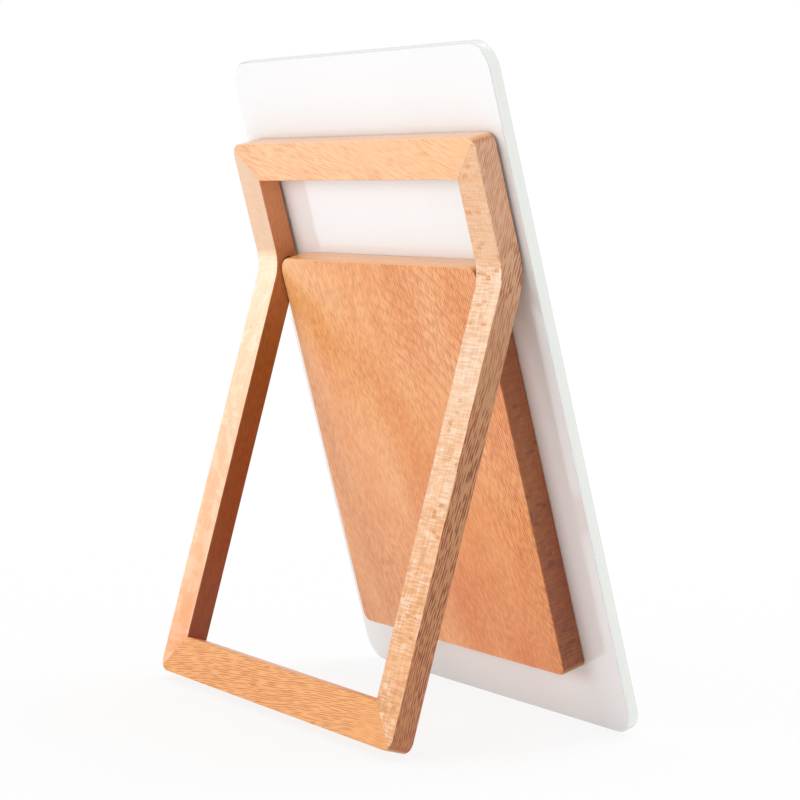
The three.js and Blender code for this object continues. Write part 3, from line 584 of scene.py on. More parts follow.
@dataclass(frozen=True)
class Sheet(Finish):
    """A smooth glossy sheet with a faint unevenness.

    Attributes:
        colour: Its colour.
        tint: What the colour drifts to.
        roughness: Mean roughness.
        polish: Weight of the clear coat, 0 to 1.
    """

    colour: Colour
    tint: Colour
    roughness: float = 0.12
    polish: float = 1.0

    def fill(self, tree: Tree) -> None:
        """Fills the material's node tree.

        Args:
            tree: The node tree.
        """
        place = tree.on_object()
        cloud = tree.noise(place, 9, detail=2)
        grain = tree.noise(place, 900, detail=2)
        tree.principled({
            "Base Color": tree.mix(tree.spread(cloud, 0.3, 0.7), self.colour, self.tint),
            "Roughness": tree.maths("MULTIPLY_ADD", cloud, 0.06, self.roughness - 0.03),
            "Normal": tree.bump(grain, 0.000004, 0.3),
            "Coat Weight": self.polish,
            "Coat Roughness": 0.06,
        })


@dataclass(frozen=True)
class ClearFace(Finish):
    """The polished face of a clear sheet, seen straight through."""

    def fill(self, tree: Tree) -> None:
        """Fills the material's node tree.

        Args:
            tree: The node tree.
        """
        wave = tree.noise(tree.on_object(), 14, detail=1)
        normal = tree.bump(wave, 0.00002, 0.2)
        mirror = tree.add("ShaderNodeBsdfGlossy", {
            "Color": (1, 1, 1, 1),
            "Roughness": tree.maths("MULTIPLY_ADD", wave, 0.02, 0.02),
            "Normal": normal,
        })
        through = tree.add("ShaderNodeBsdfTransparent", {"Color": (0.985, 0.992, 0.987, 1)})
        inside = tree.add("ShaderNodeNewGeometry").outputs["Backfacing"]
        gloss = tree.add("ShaderNodeFresnel", {"IOR": 1.49}).outputs[0]
        outside = tree.maths("SUBTRACT", 1.0, inside)
        tree.blend(tree.maths("MULTIPLY", gloss, outside), through, mirror)


@dataclass(frozen=True)
class ClearEdge(Finish):
    """The polished edge of a clear sheet, its colour a painted reflection of the white sheet behind it,
    with painted highlight and a painted shadow line.

    Attributes:
        front: Depth of the sheet's front face in the panel's axes, in metres.
        rear: Depth of its rear face.
        clearness: How much of what lies behind shows through, 0 to 1.
    """

    front: float
    rear: float
    clearness: float = 0.72

    def fill(self, tree: Tree) -> None:
        """Fills the material's node tree.

        Args:
            tree: The node tree.
        """
        local = tree.on_panel()
        behind = tree.maths("SUBTRACT", tree.split(local)["Y"], self.front)
        ramp = tree.add("ShaderNodeValToRGB", {
            "Fac": tree.maths("DIVIDE", behind, self.rear - self.front),
        })
        # Painted light across the edge, front to rear: a paler front as a painted highlight, the pale body
        # for the white it gathers, and a painted shadow line at the rear.
        painted_edge_light = [(0.0, shade(236, 237, 236)), (0.16, shade(230, 232, 229)), (0.8, shade(220, 223, 217)),
                 (0.93, shade(226, 228, 224)), (1.0, shade(176, 178, 175))]
        stops = ramp.color_ramp.elements
        for i, (at, tone) in enumerate(painted_edge_light):
            stop = stops[i] if i < 2 else stops.new(at)  # a new ramp has two stops
            stop.position, stop.color = at, tone
        streak = tree.noise(tree.scaled(local, (40, 900, 40)), detail=2)
        faint = tree.spread(streak, 0.35, 0.75, 0, 0.06)
        colour = tree.mix(faint, ramp.outputs[0], shade(208, 213, 206))
        body = tree.add("ShaderNodeBsdfPrincipled", {
            "Base Color": colour,
            "Roughness": tree.maths("MULTIPLY_ADD", streak, 0.08, 0.08),
            "Normal": tree.bump(streak, 0.00001, 0.3),
        })
        through = tree.add("ShaderNodeBsdfTransparent", {"Color": shade(245, 247, 243)})
        tree.blend(self.clearness, body, through)


@dataclass(frozen=True)
class Metal(Finish):
    """A metal with fine drawn or rolled lines.

    Attributes:
        colour: Its colour.
        roughness: Mean roughness.
        lines: Lines a metre along each axis.
    """

    colour: Colour
    roughness: float = 0.3
    lines: tuple[float, float, float] = (300, 4000, 4000)

    def fill(self, tree: Tree) -> None:
        """Fills the material's node tree.

        Args:
            tree: The node tree.
        """
        place = tree.on_object()
        lines = tree.noise(tree.scaled(place, self.lines), detail=3)
        stain = tree.noise(place, 60, detail=3)
        darker = (*(0.82 * c for c in self.colour[:3]), 1.0)
        tree.principled({
            "Base Color": tree.mix(tree.spread(stain, 0.4, 0.8, 0, 0.5), self.colour, darker),
            "Metallic": 1.0,
            "Roughness": tree.maths("MULTIPLY_ADD", lines, 0.2, self.roughness - 0.1),
            "Normal": tree.bump(lines, 0.00001, 0.3),
        })


@dataclass(frozen=True)
class Moulded(Finish):
    """A moulded or rubbery surface with a fine spark-eroded grain.

    Attributes:
        colour: Its colour.
        roughness: Mean roughness.
        grain: Grains a metre.
        relief: Depth of the grain in metres.
    """

    colour: Colour
    roughness: float = 0.5
    grain: float = 2600
    relief: float = 0.00003

    def fill(self, tree: Tree) -> None:
        """Fills the material's node tree.

        Args:
            tree: The node tree.
        """
        place = tree.on_object()
        grain = tree.noise(place, self.grain, detail=3)
        wear = tree.noise(place, 120, detail=3)
        lighter = (*(min(1.0, 1.25 * c + 0.01) for c in self.colour[:3]), 1.0)
        tree.principled({
            "Base Color": tree.mix(tree.spread(wear, 0.45, 0.85, 0, 0.5), self.colour, lighter),
            "Roughness": tree.maths("MULTIPLY_ADD", grain, 0.16, self.roughness - 0.08),
            "Normal": tree.bump(grain, self.relief, 0.5),
        })


@dataclass(frozen=True)
class Screen(Finish):
    """A dark screen: a black border printed round the lit area.

    Attributes:
        half: Half the lit area's width and height, in metres.
        middle: The lit area's middle in the panel's axes.
    """

    half: tuple[float, float]
    middle: Vector

    def fill(self, tree: Tree) -> None:
        """Fills the material's node tree.

        Args:
            tree: The node tree.
        """
        local = tree.on_panel(self.middle)
        split = tree.split(local)
        across = tree.maths("COMPARE", split["X"], 0.0, self.half[0])
        up = tree.maths("COMPARE", split["Z"], 0.0, self.half[1])
        inside = tree.maths("MULTIPLY", across, up)
        haze = tree.noise(local, 25, detail=2)
        lit = tree.mix(tree.spread(haze, 0.3, 0.7), shade(24, 26, 31), shade(28, 30, 36))
        tree.principled({
            "Base Color": tree.mix(inside, shade(14, 14, 16), lit),
            "Roughness": tree.maths("MULTIPLY_ADD", haze, 0.06, 0.26),
            "Normal": tree.bump(haze, 0.000005, 0.1),
            "Specular IOR Level": 0.15,
        })


@dataclass(frozen=True)
class CircuitBoard(Finish):
    """Green solder mask with copper tracks under it."""

    def fill(self, tree: Tree) -> None:
        """Fills the material's node tree.

        Args:
            tree: The node tree.
        """
        blocks = tree.add("ShaderNodeTexVoronoi", {"Vector": tree.on_object(), "Scale": 260.0},
                          distance="CHEBYCHEV", feature="F1").outputs["Distance"]
        tracks = tree.spread(tree.maths("PINGPONG", blocks, 0.12), 0.045, 0.06)
        tree.principled({
            "Base Color": tree.mix(tracks, shade(22, 74, 48), shade(42, 106, 66)),
            "Roughness": tree.maths("MULTIPLY_ADD", tracks, -0.1, 0.45),
            "Normal": tree.bump(tracks, 0.00003, 0.6),
        })


@dataclass(frozen=True)
class Ground(Finish):
    """A pale floor that keeps the object's shadow, and fades to white away from it.

    Attributes:
        colour: Its colour.
        drift: What the colour drifts to.
        bounce: Its colour for the light that it throws back at the object.
        glow: How far it is lifted towards white under the object, 0 to 1.
        fade_from: How far from the middle the fade starts, in metres.
        fade_to: How far from the middle it is white.
    """

    colour: Colour = shade(246, 246, 246)
    drift: Colour = shade(243, 243, 244)
    bounce: Colour = (0.95, 0.95, 0.95, 1.0)
    glow: float = 0.85
    fade_from: float = 0.12
    fade_to: float = 0.75

    def fill(self, tree: Tree) -> None:
        """Fills the material's node tree.

        Args:
            tree: The node tree.
        """
        place = tree.on_object()
        away = tree.vectors("LENGTH", place)["Value"]
        pale = tree.mix(tree.noise(place, 6, detail=2), self.colour, self.drift)
        seen = tree.seen()
        diffuse = tree.add("ShaderNodeBsdfDiffuse", {"Color": tree.mix(seen, self.bounce, pale)})
        white = tree.add("ShaderNodeEmission", {"Color": (1, 1, 1, 1), "Strength": 1.0})
        lifted = tree.spread(away, self.fade_from, self.fade_to, self.glow, 1.0)
        tree.blend(tree.maths("MULTIPLY", lifted, seen), diffuse, white)


# ---------------------------------------------------------------- mesh making
def evaluated(obj: bpy.types.Object) -> bpy.types.Mesh:
    """Turns an object into a plain mesh, with its modifiers applied.

    Args:
        obj: The object, which is removed.

    Returns:
        The mesh.
    """
    graph = bpy.context.evaluated_depsgraph_get()
    mesh = bpy.data.meshes.new_from_object(obj.evaluated_get(graph))
    bpy.data.objects.remove(obj)
    return mesh


def temporary(data: bpy.types.ID) -> bpy.types.Object:
    """Puts an object into the scene for a while.

    Args:
        data: The mesh or curve that it holds.

    Returns:
        The object.
    """
    obj = bpy.data.objects.new("temporary", data)
    bpy.context.scene.collection.objects.link(obj)
    return obj


def box_mesh(low: Sequence[float], high: Sequence[float]) -> bmesh.types.BMesh:
    """A box between two corners.

    Args:
        low: Its lowest corner.
        high: Its highest corner.

    Returns:
        The box.
    """
    bm = bmesh.new()
    size = Vector(high) - Vector(low)
    middle = (Vector(high) + Vector(low)) / 2
    bmesh.ops.create_cube(bm, size=1, matrix=Matrix.Translation(middle) @ Matrix.Diagonal((*size, 1)))
    return bm


def rod_mesh(radius: float, left: float, right: float, sides: int) -> bmesh.types.BMesh:
    """A round bar on the x axis.

    Args:
        radius: Its radius.
        left: Where it starts.
        right: Where it ends.
        sides: How many faces go round it.

    Returns:
        The bar.
    """
    bm = bmesh.new()
    place = Matrix.Translation(((left + right) / 2, 0, 0)) @ Matrix.Rotation(math.pi / 2, 4, "Y")
    bmesh.ops.create_cone(bm, cap_ends=True, segments=sides, radius1=radius, radius2=radius,
                          depth=right - left, matrix=place)
    return bm


def round_edges(bm: bmesh.types.BMesh, wanted: Callable[[bmesh.types.BMEdge], bool], radius: float,
                segments: int) -> None:
    """Rounds the edges that a test picks.

    Args:
        bm: The mesh.
        wanted: The test.
        radius: The rounding's radius in metres.
        segments: How many faces make the rounding.
    """
    edges = [e for e in bm.edges if wanted(e)]
    bmesh.ops.bevel(bm, geom=edges, offset=radius, segments=segments, profile=0.5, affect="EDGES",
                    clamp_overlap=False)


def runs_along(edge: bmesh.types.BMEdge, axis: int) -> bool:
    """True if an edge runs along an axis, 0 for x, 1 for y or 2 for z."""
    run = edge.verts[1].co - edge.verts[0].co
    return abs(run[axis]) > SAME_WAY * run.length


def sharper_than(edge: bmesh.types.BMEdge, degrees: float) -> bool:
    """True if an edge's two faces meet at more than an angle."""
    return edge.is_manifold and edge.calc_face_angle() > math.radians(degrees)


def as_mesh(bm: bmesh.types.BMesh) -> bpy.types.Mesh:
    """Turns a bmesh into a mesh.

    Args:
        bm: The bmesh, which is freed.

    Returns:
        The mesh.
    """
    mesh = bpy.data.meshes.new("made")
    bm.to_mesh(mesh)
    bm.free()
    return mesh


def cut_away(bm: bmesh.types.BMesh, tools: Iterable[bmesh.types.BMesh]) -> bmesh.types.BMesh:
    """Takes closed meshes out of a mesh.

    Args:
        bm: The mesh, which is freed.
        tools: What is taken out of it. They are freed too.

    Returns:
        What is left.
    """
    body = temporary(as_mesh(bm))
    cutters = [temporary(as_mesh(tool)) for tool in tools]
    for cutter in cutters:
        change = body.modifiers.new("cut", "BOOLEAN")
        change.operation, change.solver, change.object = "DIFFERENCE", "EXACT", cutter
    mesh = evaluated(body)
    for cutter in cutters:
        bpy.data.objects.remove(cutter)
    made = bmesh.new()
    made.from_mesh(mesh)
    bmesh.ops.remove_doubles(made, verts=made.verts, dist=SAME_PLACE)
    bmesh.ops.dissolve_degenerate(made, dist=SAME_PLACE, edges=made.edges)
    return made


def shaded(bm: bmesh.types.BMesh, sharp: float = 40) -> bpy.types.Mesh:
    """A mesh that is smooth over its roundings, with its flats kept flat.

    Args:
        bm: The mesh, which is freed.
        sharp: Edges over this many degrees stay sharp.

    Returns:
        The finished mesh.
    """
    bmesh.ops.recalc_face_normals(bm, faces=bm.faces)
    for face in bm.faces:
        face.smooth = True
    for edge in bm.edges:
        edge.smooth = not sharper_than(edge, sharp)
    obj = temporary(as_mesh(bm))
    flat = obj.modifiers.new("flats", "WEIGHTED_NORMAL")
    flat.mode, flat.weight, flat.keep_sharp = "FACE_AREA", 100, True
    return evaluated(obj)


def place_piece(name: str, mesh: bpy.types.Mesh, axes: Axes, body: str,
                materials: Sequence[bpy.types.Material], stands_for: Sequence[str]) -> None:
    """Puts a finished mesh into the scene as a piece of the object.

    Args:
        name: The piece's name.
        mesh: Its mesh, in the axes given.
        axes: Those axes.
        body: The CAD body that it moves with.
        materials: Its materials, in the order of the mesh's material numbers.
        stands_for: The CAD nodes that it replaces.
    """
    mesh.name = name
    mesh.transform(axes.matrix)
    for made in materials:
        mesh.materials.append(made)
    obj = bpy.data.objects.new(name, mesh)
    bpy.context.scene.collection.objects.link(obj)
    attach(obj, body)
    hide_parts(*stands_for)
    LOG.info("%s: %d faces on %s", name, len(mesh.polygons), body)


# ---------------------------------------------------------------- panel
@dataclass
class Panel:
    """The clear sheet and the white sheet behind it.

    Attributes:
        corner: Radius of the clear sheet's corners.
        arris: Radius of its polished edges.
        window_corner: Radius of the white sheet's window at its corners.
    """

    corner: float = 13 * MM
    arris: float = 0.72 * MM
    window_corner: float = 1 * MM

    @staticmethod
    def outline(low: Vector, high: Vector, corner: float) -> bmesh.types.BMesh:
        """A sheet with rounded corners.

        Args:
            low: Its lowest corner.
            high: Its highest corner.
            corner: The corners' radius.

        Returns:
            The sheet.
        """
        bm = box_mesh(low, high)
        round_edges(bm, lambda e: runs_along(e, 1), corner, segments=20)
        return bm

    def clear_sheet(self) -> None:
        """Builds the clear sheet: see-through faces, and polished edges whose pale colour is painted
        light.
        """
        low, high = PANEL.box("front_panel")
        bm = self.outline(low, high, self.corner)
        round_edges(bm, lambda e: sharper_than(e, 60), self.arris, segments=4)
        for face in bm.faces:
            face.material_index = 0 if abs(face.normal.y) > SAME_WAY else 1
        finishes = [ClearFace("clear face").make(), ClearEdge("clear edge", low.y, high.y).make()]
        place_piece("clear_sheet", shaded(bm), PANEL, "display", finishes, ["front_panel"])

    def white_sheet(self) -> None:
        """Builds the white sheet with the window for the screen."""
        low, high = PANEL.box("white_backing")
        outer, _ = PANEL.box("front_panel")
        inset = low.x - outer.x
        bm = self.outline(low, high, self.corner - inset)
        left_foot, right_top = self.window()
        hole = box_mesh(
            (left_foot.x, low.y - PAST, left_foot.z), (right_top.x, high.y + PAST, right_top.z))
        round_edges(hole, lambda e: runs_along(e, 1), self.window_corner, segments=6)
        bm = cut_away(bm, [hole])
        finish = Sheet("white sheet", shade(236, 236, 237), shade(233, 233, 234)).make()
        place_piece("white_sheet", shaded(bm), PANEL, "display", [finish],
                    ["white_backing"])

    @staticmethod
    def window() -> tuple[Vector, Vector]:
        """Measures the window on the gasket round it.

        Returns:
            The window's lowest and highest corners, in the panel's axes.
        """
        margin = 1 * MM  # less than the gasket's width, and what it stands back from the window
        back = PANEL.matrix.inverted()
        points = [back @ v.co for v in frame["nodes"]["display_gasket"].data.vertices]
        low, high = PANEL.box("display_gasket")
        inner = [p for p in points if low.x + margin < p.x < high.x - margin
                 and low.z + margin < p.z < high.z - margin]
        across, up = [p.x for p in inner], [p.z for p in inner]
        return (Vector((min(across) + margin, low.y, min(up) + margin)),
                Vector((max(across) - margin, high.y, max(up) - margin)))

    def build(self) -> None:
        """Builds both sheets."""
        self.clear_sheet()
        self.white_sheet()


# ---------------------------------------------------------------- housing
@dataclass
class Housing:
    """The beech slab on the panel's back, hollowed for the screen.

    Attributes:
        top_corner: Radius of its two upper corners.
        foot_corner: Radius of its two lower corners.
        rear_arris: Radius of the edges round its rear face.
        front_arris: Radius of the edges next to the panel.
        slip: Room round the carrier in the pocket.
        ledge_side: Width of the ledge that the carrier sits on, at the sides.
        ledge_end: The same at the ends.
        rear_wall: Wood left behind the well.
        seat: Room behind the carrier, and at the port plate's inner face.
        lip: Width of the wood that the port plate's ends rest on.
        pin_room: Room round the hinge pins.
    """

    top_corner: float = 8 * MM
    foot_corner: float = 4.5 * MM
    rear_arris: float = 0.9 * MM
    front_arris: float = 0.15 * MM
    slip: float = 0.2 * MM
    ledge_side: float = 8 * MM
    ledge_end: float = 14 * MM
    rear_wall: float = 2.2 * MM
    seat: float = 0.1 * MM
    lip: float = 2 * MM
    pin_room: float = 0.15 * MM

    def hollows(self, low: Vector, high: Vector) -> list[bmesh.types.BMesh]:
        """Makes what is cut out of the slab, from the pieces that it holds.

        Args:
            low: The slab's lowest corner, in the panel's axes.
            high: Its highest corner.

        Returns:
            The pocket, the well, the ports' notch and rebate, and the pin holes.
        """
        carrier_low, carrier_high = PANEL.box("carrier_plate")
        slack = Vector((self.slip, 0, self.slip))
        pocket_low, pocket_high = carrier_low - slack, carrier_high + slack
        pocket = box_mesh(
            (pocket_low.x, low.y - PAST, pocket_low.z),
            (pocket_high.x, carrier_high.y + self.seat, pocket_high.z))
        well = box_mesh(
            (pocket_low.x + self.ledge_side, low.y, pocket_low.z + self.ledge_end),
            (pocket_high.x - self.ledge_side, high.y - self.rear_wall, pocket_high.z - self.ledge_end))
        plate_low, plate_high = PANEL.box("port_plate")
        _, board_high = PANEL.box("main_board")
        rest = self.lip - self.slip
        notch = box_mesh(
            (pocket_high.x - self.ledge_side - self.lip, low.y - PAST, plate_low.z + rest),
            (high.x + PAST, board_high.y + 2 * self.slip, plate_high.z - rest))
        rebate = box_mesh(
            (plate_low.x - self.seat, low.y - PAST, plate_low.z - self.slip),
            (high.x + PAST, plate_high.y + self.slip, plate_high.z + self.slip))
        tools = [pocket, well, notch, rebate]
        for side in ("left", "right"):
            pin_low, pin_high = PANEL.box("hinge_pin_" + side)
            radius = (pin_high.z - pin_low.z) / 2 + self.pin_room
            tools.append(rod_mesh(radius, pin_low.x - self.slip, pin_high.x + self.slip, sides=24))
        return tools

    def build(self) -> None:
        """Builds the slab."""
        low, high = PANEL.box("housing")
        bm = box_mesh(low, high)
        middle = (low.z + high.z) / 2
        round_edges(bm, lambda e: runs_along(e, 1) and e.verts[0].co.z > middle, self.top_corner,
                    segments=14)
        round_edges(bm, lambda e: runs_along(e, 1) and sharper_than(e, 60), self.foot_corner, segments=10)
        half_way = (low.y + high.y) / 2
        round_edges(bm, lambda e: sharper_than(e, 60) and e.verts[0].co.y > half_way, self.rear_arris,
                    segments=4)
        round_edges(bm, lambda e: sharper_than(e, 60) and e.verts[0].co.y < half_way, self.front_arris,
                    segments=2)
        bm = cut_away(bm, self.hollows(low, high))
        finish = self.timber(high).make()
        place_piece("beech_housing", shaded(bm), PANEL, "display", [finish], ["housing"])

    @staticmethod
    def timber(high: Vector) -> Beech:
        """The slab's timber, with fine growth lines near the top of its rear face.

        Args:
            high: The slab's highest corner, in the panel's axes.

        Returns:
            The finish.
        """
        return Beech(
            "beech of the housing",
            pale=shade(241, 175, 112), deep=shade(221, 122, 22), fleck=shade(172, 82, 20),
            # painted light: shade on the side looking to -X, deeper tone towards -X and the floor
            painted_side_shade=shade(202, 168, 126), painted_low_side_shade=shade(179, 156, 110),
            grain=PANEL.direction(0.18, 0, 1), rays=PANEL.direction(0.1, 1, 0),
            dash=(0.0034, 0.0013), share=0.8, depth=0.45, weave=0.8,
            band=0.012, band_depth=0.35, cloud=0.4, painted_shade_slope=(-2.6, 0.0, -1.5),
            # the pale end tone is a painted sheen on the slab's top face
            end_grain=0.75, end_grain_and_sheen_tone=shade(253, 184, 114), rings=(-0.045, high.y, high.z - 0.032),
            lacquer=0.6, place=(0.31, 0.12, 0.07))


# ---------------------------------------------------------------- stand
class Rail(Enum):
    """The stand's four rails."""

    TOP = "top"
    BOTTOM = "bottom"
    LEFT = "left"
    RIGHT = "right"


@dataclass
class Stand:
    """The mitred stand: two angled side rails and two cross rails.

    Attributes:
        corner: Radius of the outer corners.
        arris: Radius of the edges along the rails.
        glue: Width of a mitre's glue line.
        kink_radius: Radius of the bend on the rear face.
        kink_steps: How many faces make the bend.
        sleeve_room: Room round a hinge sleeve.
        sleeve_end: Room past a hinge sleeve's outer end.
        thick: Thickness of the rails, front to rear. This and the rest are measured.
        side: Distance of the outer sides from the middle.
        inner: Distance of the side rails' inner sides from the middle.
        width: Width of a side rail.
        top: Height of the top rail's outer edge, in the panel's axes.
        top_inner: Height of its inner edge.
        foot: Height of the bottom rail's outer edge, in the legs' axes.
        foot_inner: Height of its inner edge.
    """

    corner: float = 6 * MM
    arris: float = 0.62 * MM
    glue: float = 0.04 * MM
    kink_radius: float = 27 * MM
    kink_steps: int = 14
    sleeve_room: float = 0.15 * MM
    sleeve_end: float = 0.2 * MM
    thick: float = field(init=False)
    side: float = field(init=False)
    inner: float = field(init=False)
    width: float = field(init=False)
    top: float = field(init=False)
    top_inner: float = field(init=False)
    foot: float = field(init=False)
    foot_inner: float = field(init=False)

    def __post_init__(self) -> None:
        """Measures the stand on the CAD nodes."""
        top_low, top_high = PANEL.box("top_rail")
        foot_low, foot_high = LEG.box("bottom_rail")
        side_low, side_high = PANEL.box("right_rail")
        self.thick = top_high.y - top_low.y
        self.side = side_high.x
        self.inner = side_low.x
        self.width = self.side - self.inner
        self.top = side_high.z
        self.top_inner = self.top - (top_high.z - top_low.z)
        self.foot = LEG.box("right_rail")[0].z
        self.foot_inner = self.foot + (foot_high.z - foot_low.z)

    # -- the sweep
    def sweep_tree(self) -> bpy.types.NodeTree:
        """Makes the node group that sweeps a rail's section along a path with a rounded bend.

        Returns:
            The node group, with an input for each size.
        """
        group = bpy.data.node_groups.new("rail sweep", "GeometryNodeTree")
        sockets = (("Path", "INPUT", "NodeSocketGeometry"), ("Width", "INPUT", "NodeSocketFloat"),
                   ("Thickness", "INPUT", "NodeSocketFloat"), ("Bend Radius", "INPUT", "NodeSocketFloat"),
                   ("Bend Steps", "INPUT", "NodeSocketInt"), ("Finish", "INPUT", "NodeSocketMaterial"),
                   ("Rail", "OUTPUT", "NodeSocketGeometry"))
        for name, way, kind in sockets:
            group.interface.new_socket(name, in_out=way, socket_type=kind)
        tree = Tree(group)
        given = tree.add("NodeGroupInput").outputs
        bend = tree.add("GeometryNodeFilletCurve", {
            "Curve": given["Path"], "Count": given["Bend Steps"], "Radius": given["Bend Radius"],
        }, mode="POLY")
        outline = tree.add("GeometryNodeCurvePrimitiveQuadrilateral", {
            "Width": given["Thickness"], "Height": given["Width"]}, mode="RECTANGLE")
        swept = tree.add("GeometryNodeCurveToMesh", {
            "Curve": bend.outputs[0], "Profile Curve": outline.outputs[0], "Fill Caps": True})
        real = tree.add("GeometryNodeRealizeInstances", {0: swept.outputs[0]})
        dressed = tree.add("GeometryNodeSetMaterial", {
            "Geometry": real.outputs[0], "Material": given["Finish"]})
        tree.add("NodeGroupOutput", {"Rail": dressed.outputs[0]})
        return group

    def sweep(self, path: Sequence[Sequence[float]], finish: bpy.types.Material,
              group: bpy.types.NodeTree) -> bmesh.types.BMesh:
        """Sweeps the rail's section along a path.

        Args:
            path: Points of the centre line, in the panel's axes.
            finish: The rail's material.
            group: The node group from sweep_tree.

        Returns:
            The swept rail, closed at both ends.
        """
        # The section stays upright along a path that lies flat, so the rail is swept lying on its
        # side, along a path in the x-y plane, and then turned up into the y-z plane.
        turn = Matrix(((0, 0, 1, 0), (0, 1, 0, 0), (-1, 0, 0, 0), (0, 0, 0, 1)))
        flat = [turn.inverted() @ Vector(p) for p in path]
        curve = bpy.data.curves.new("path", "CURVE")
        curve.dimensions = "3D"
        spline = curve.splines.new("POLY")
        spline.points.add(len(flat) - 1)
        for point, place in zip(spline.points, flat):
            point.co = (*place, 1)
        obj = temporary(curve)
        change = obj.modifiers.new("sweep", "NODES")
        change.node_group = group
        settings = {"Width": self.width, "Thickness": self.thick, "Finish": finish,
                    "Bend Radius": self.kink_radius + self.thick / 2, "Bend Steps": self.kink_steps}
        for item in group.interface.items_tree:
            if item.name in settings:
                change[item.identifier] = settings[item.name]
        bm = bmesh.new()
        bm.from_mesh(evaluated(obj))
        bmesh.ops.transform(bm, matrix=turn, verts=bm.verts)
        bmesh.ops.remove_doubles(bm, verts=bm.verts, dist=SAME_PLACE / 2)
        bmesh.ops.recalc_face_normals(bm, faces=bm.faces)
        return bm

    # -- joinery
    def mitre(self, side: int, outer: float, inner: float, axes: Axes) -> tuple[Vector, Vector]:
        """A mitre's plane in the panel's axes.

        Args:
            side: 1 or -1, the side of the corner.
            outer: Height of the corner's outer point in the axes given.
            inner: Height of its inner point.
            axes: The axes of that part of the stand.

        Returns:
            A point on the plane, and its normal towards the side rail.
        """
        to_panel = PANEL.matrix.inverted() @ axes.matrix
        run = Vector((side * (self.side - self.inner), 0, outer - inner))
        normal = Vector((run.z, 0, -run.x)) * (side * math.copysign(1, outer - inner))
        point = Vector((side * self.side, 0, outer))
        return to_panel @ point, (to_panel.to_3x3() @ normal).normalized()

    def trim(self, bm: bmesh.types.BMesh, plane: tuple[Vector, Vector], keep: int) -> None:
        """Cuts a rail off at a mitre's plane and closes it.

        Args:
            bm: The rail.
            plane: A point on the plane and its normal.
            keep: 1 keeps the side that the normal points to, -1 the other.
        """
        point, normal = plane
        place = point + normal * keep * self.glue / 2
        on_plane = 0.0000005  # corners nearer to the plane than this, in metres, lie on it
        geometry = [*bm.verts, *bm.edges, *bm.faces]
        cut = bmesh.ops.bisect_plane(bm, geom=geometry, dist=on_plane, plane_co=place,
                                     plane_no=normal * keep, clear_inner=True)
        rim = [e for e in cut["geom_cut"] if isinstance(e, bmesh.types.BMEdge)]
        bmesh.ops.holes_fill(bm, edges=rim, sides=0)

    def ease(self, bm: bmesh.types.BMesh, planes: Sequence[tuple[Vector, Vector]]) -> None:
        """Rounds a rail's edges, but not those of its mitres.

        Args:
            bm: The rail.
            planes: Its mitres' planes, each a point and a normal.
        """

        def on_mitre(edge: bmesh.types.BMEdge) -> bool:
            """True if an edge lies on one of the mitres."""
            return any(all(abs((v.co - point).dot(normal)) < self.glue for v in edge.verts)
                       for point, normal in planes)

        round_edges(bm, lambda e: sharper_than(e, 50) and not on_mitre(e), self.arris, segments=4)

    def round_corner(self, bm: bmesh.types.BMesh, axes: Axes, sides: Sequence[int],
                     height: float) -> None:
        """Rounds a rail's outer corner before its mitre is cut.

        Args:
            bm: The rail, its end still square.
            axes: The axes of that part of the stand.
            sides: The sides, 1 or -1, whose corner it is.
            height: The corner's height in those axes.
        """
        to_axes = axes.matrix.inverted() @ PANEL.matrix
        near = 0.01 * MM

        def at_corner(edge: bmesh.types.BMEdge) -> bool:
            """True if both ends of an edge stand at such a corner."""
            ends = [to_axes @ v.co for v in edge.verts]
            return any(all(abs(p.x - s * self.side) < near and abs(p.z - height) < near for p in ends)
                       for s in sides)

        round_edges(bm, at_corner, self.corner, segments=10)

    # -- the rails
    def side_rail(self, side: int, name: Rail, finish: bpy.types.Material,
                  group: bpy.types.NodeTree) -> None:
        """Builds an angled side rail.

        Args:
            side: 1 or -1.
            name: Which rail it is.
            finish: Its material.
            group: The node group from sweep_tree.
        """
        middle = side * (self.side + self.inner) / 2
        to_panel = PANEL.matrix.inverted() @ LEG.matrix
        path = [(middle, 0, self.top), (middle, 0, 0), to_panel @ Vector((middle, 0, self.foot))]
        bm = self.sweep(path, finish, group)
        self.round_corner(bm, PANEL, [side], self.top)
        self.round_corner(bm, LEG, [side], self.foot)
        planes = [self.mitre(side, self.top, self.top_inner, PANEL),
                  self.mitre(side, self.foot, self.foot_inner, LEG)]
        for plane in planes:
            self.trim(bm, plane, 1)
        self.ease(bm, planes)
        sleeve_low, sleeve_high = PANEL.box("hinge_sleeve_" + name.value)
        radius = (sleeve_high.z - sleeve_low.z) / 2 + self.sleeve_room
        sleeve_reach = max(abs(sleeve_low.x), abs(sleeve_high.x))
        left, right = sorted((side * (self.inner - PAST), side * (sleeve_reach + self.sleeve_end)))
        bm = cut_away(bm, [rod_mesh(radius, left, right, sides=32)])
        place_piece(f"side_rail_{name.value}", shaded(bm), PANEL, "stand", [finish],
                    [name.value + "_rail"])

    def cross_rail(self, name: Rail, axes: Axes, outer: float, inner: float,
                   finish: bpy.types.Material) -> None:
        """Builds the top or the bottom rail.

        Args:
            name: Which rail it is.
            axes: The axes of that part of the stand.
            outer: Height of its outer edge in those axes.
            inner: Height of its inner edge.
            finish: Its material.
        """
        half = self.thick / 2
        low, high = sorted((outer, inner))
        bm = box_mesh((-self.side, -half, low), (self.side, half, high))
        bmesh.ops.transform(bm, matrix=PANEL.matrix.inverted() @ axes.matrix, verts=bm.verts)
        self.round_corner(bm, axes, (-1, 1), outer)
        planes = [self.mitre(side, outer, inner, axes) for side in (-1, 1)]
        for plane in planes:
            self.trim(bm, plane, -1)
        self.ease(bm, planes)
        place_piece(f"cross_rail_{name.value}", shaded(bm), PANEL, "stand", [finish],
                    [name.value + "_rail"])

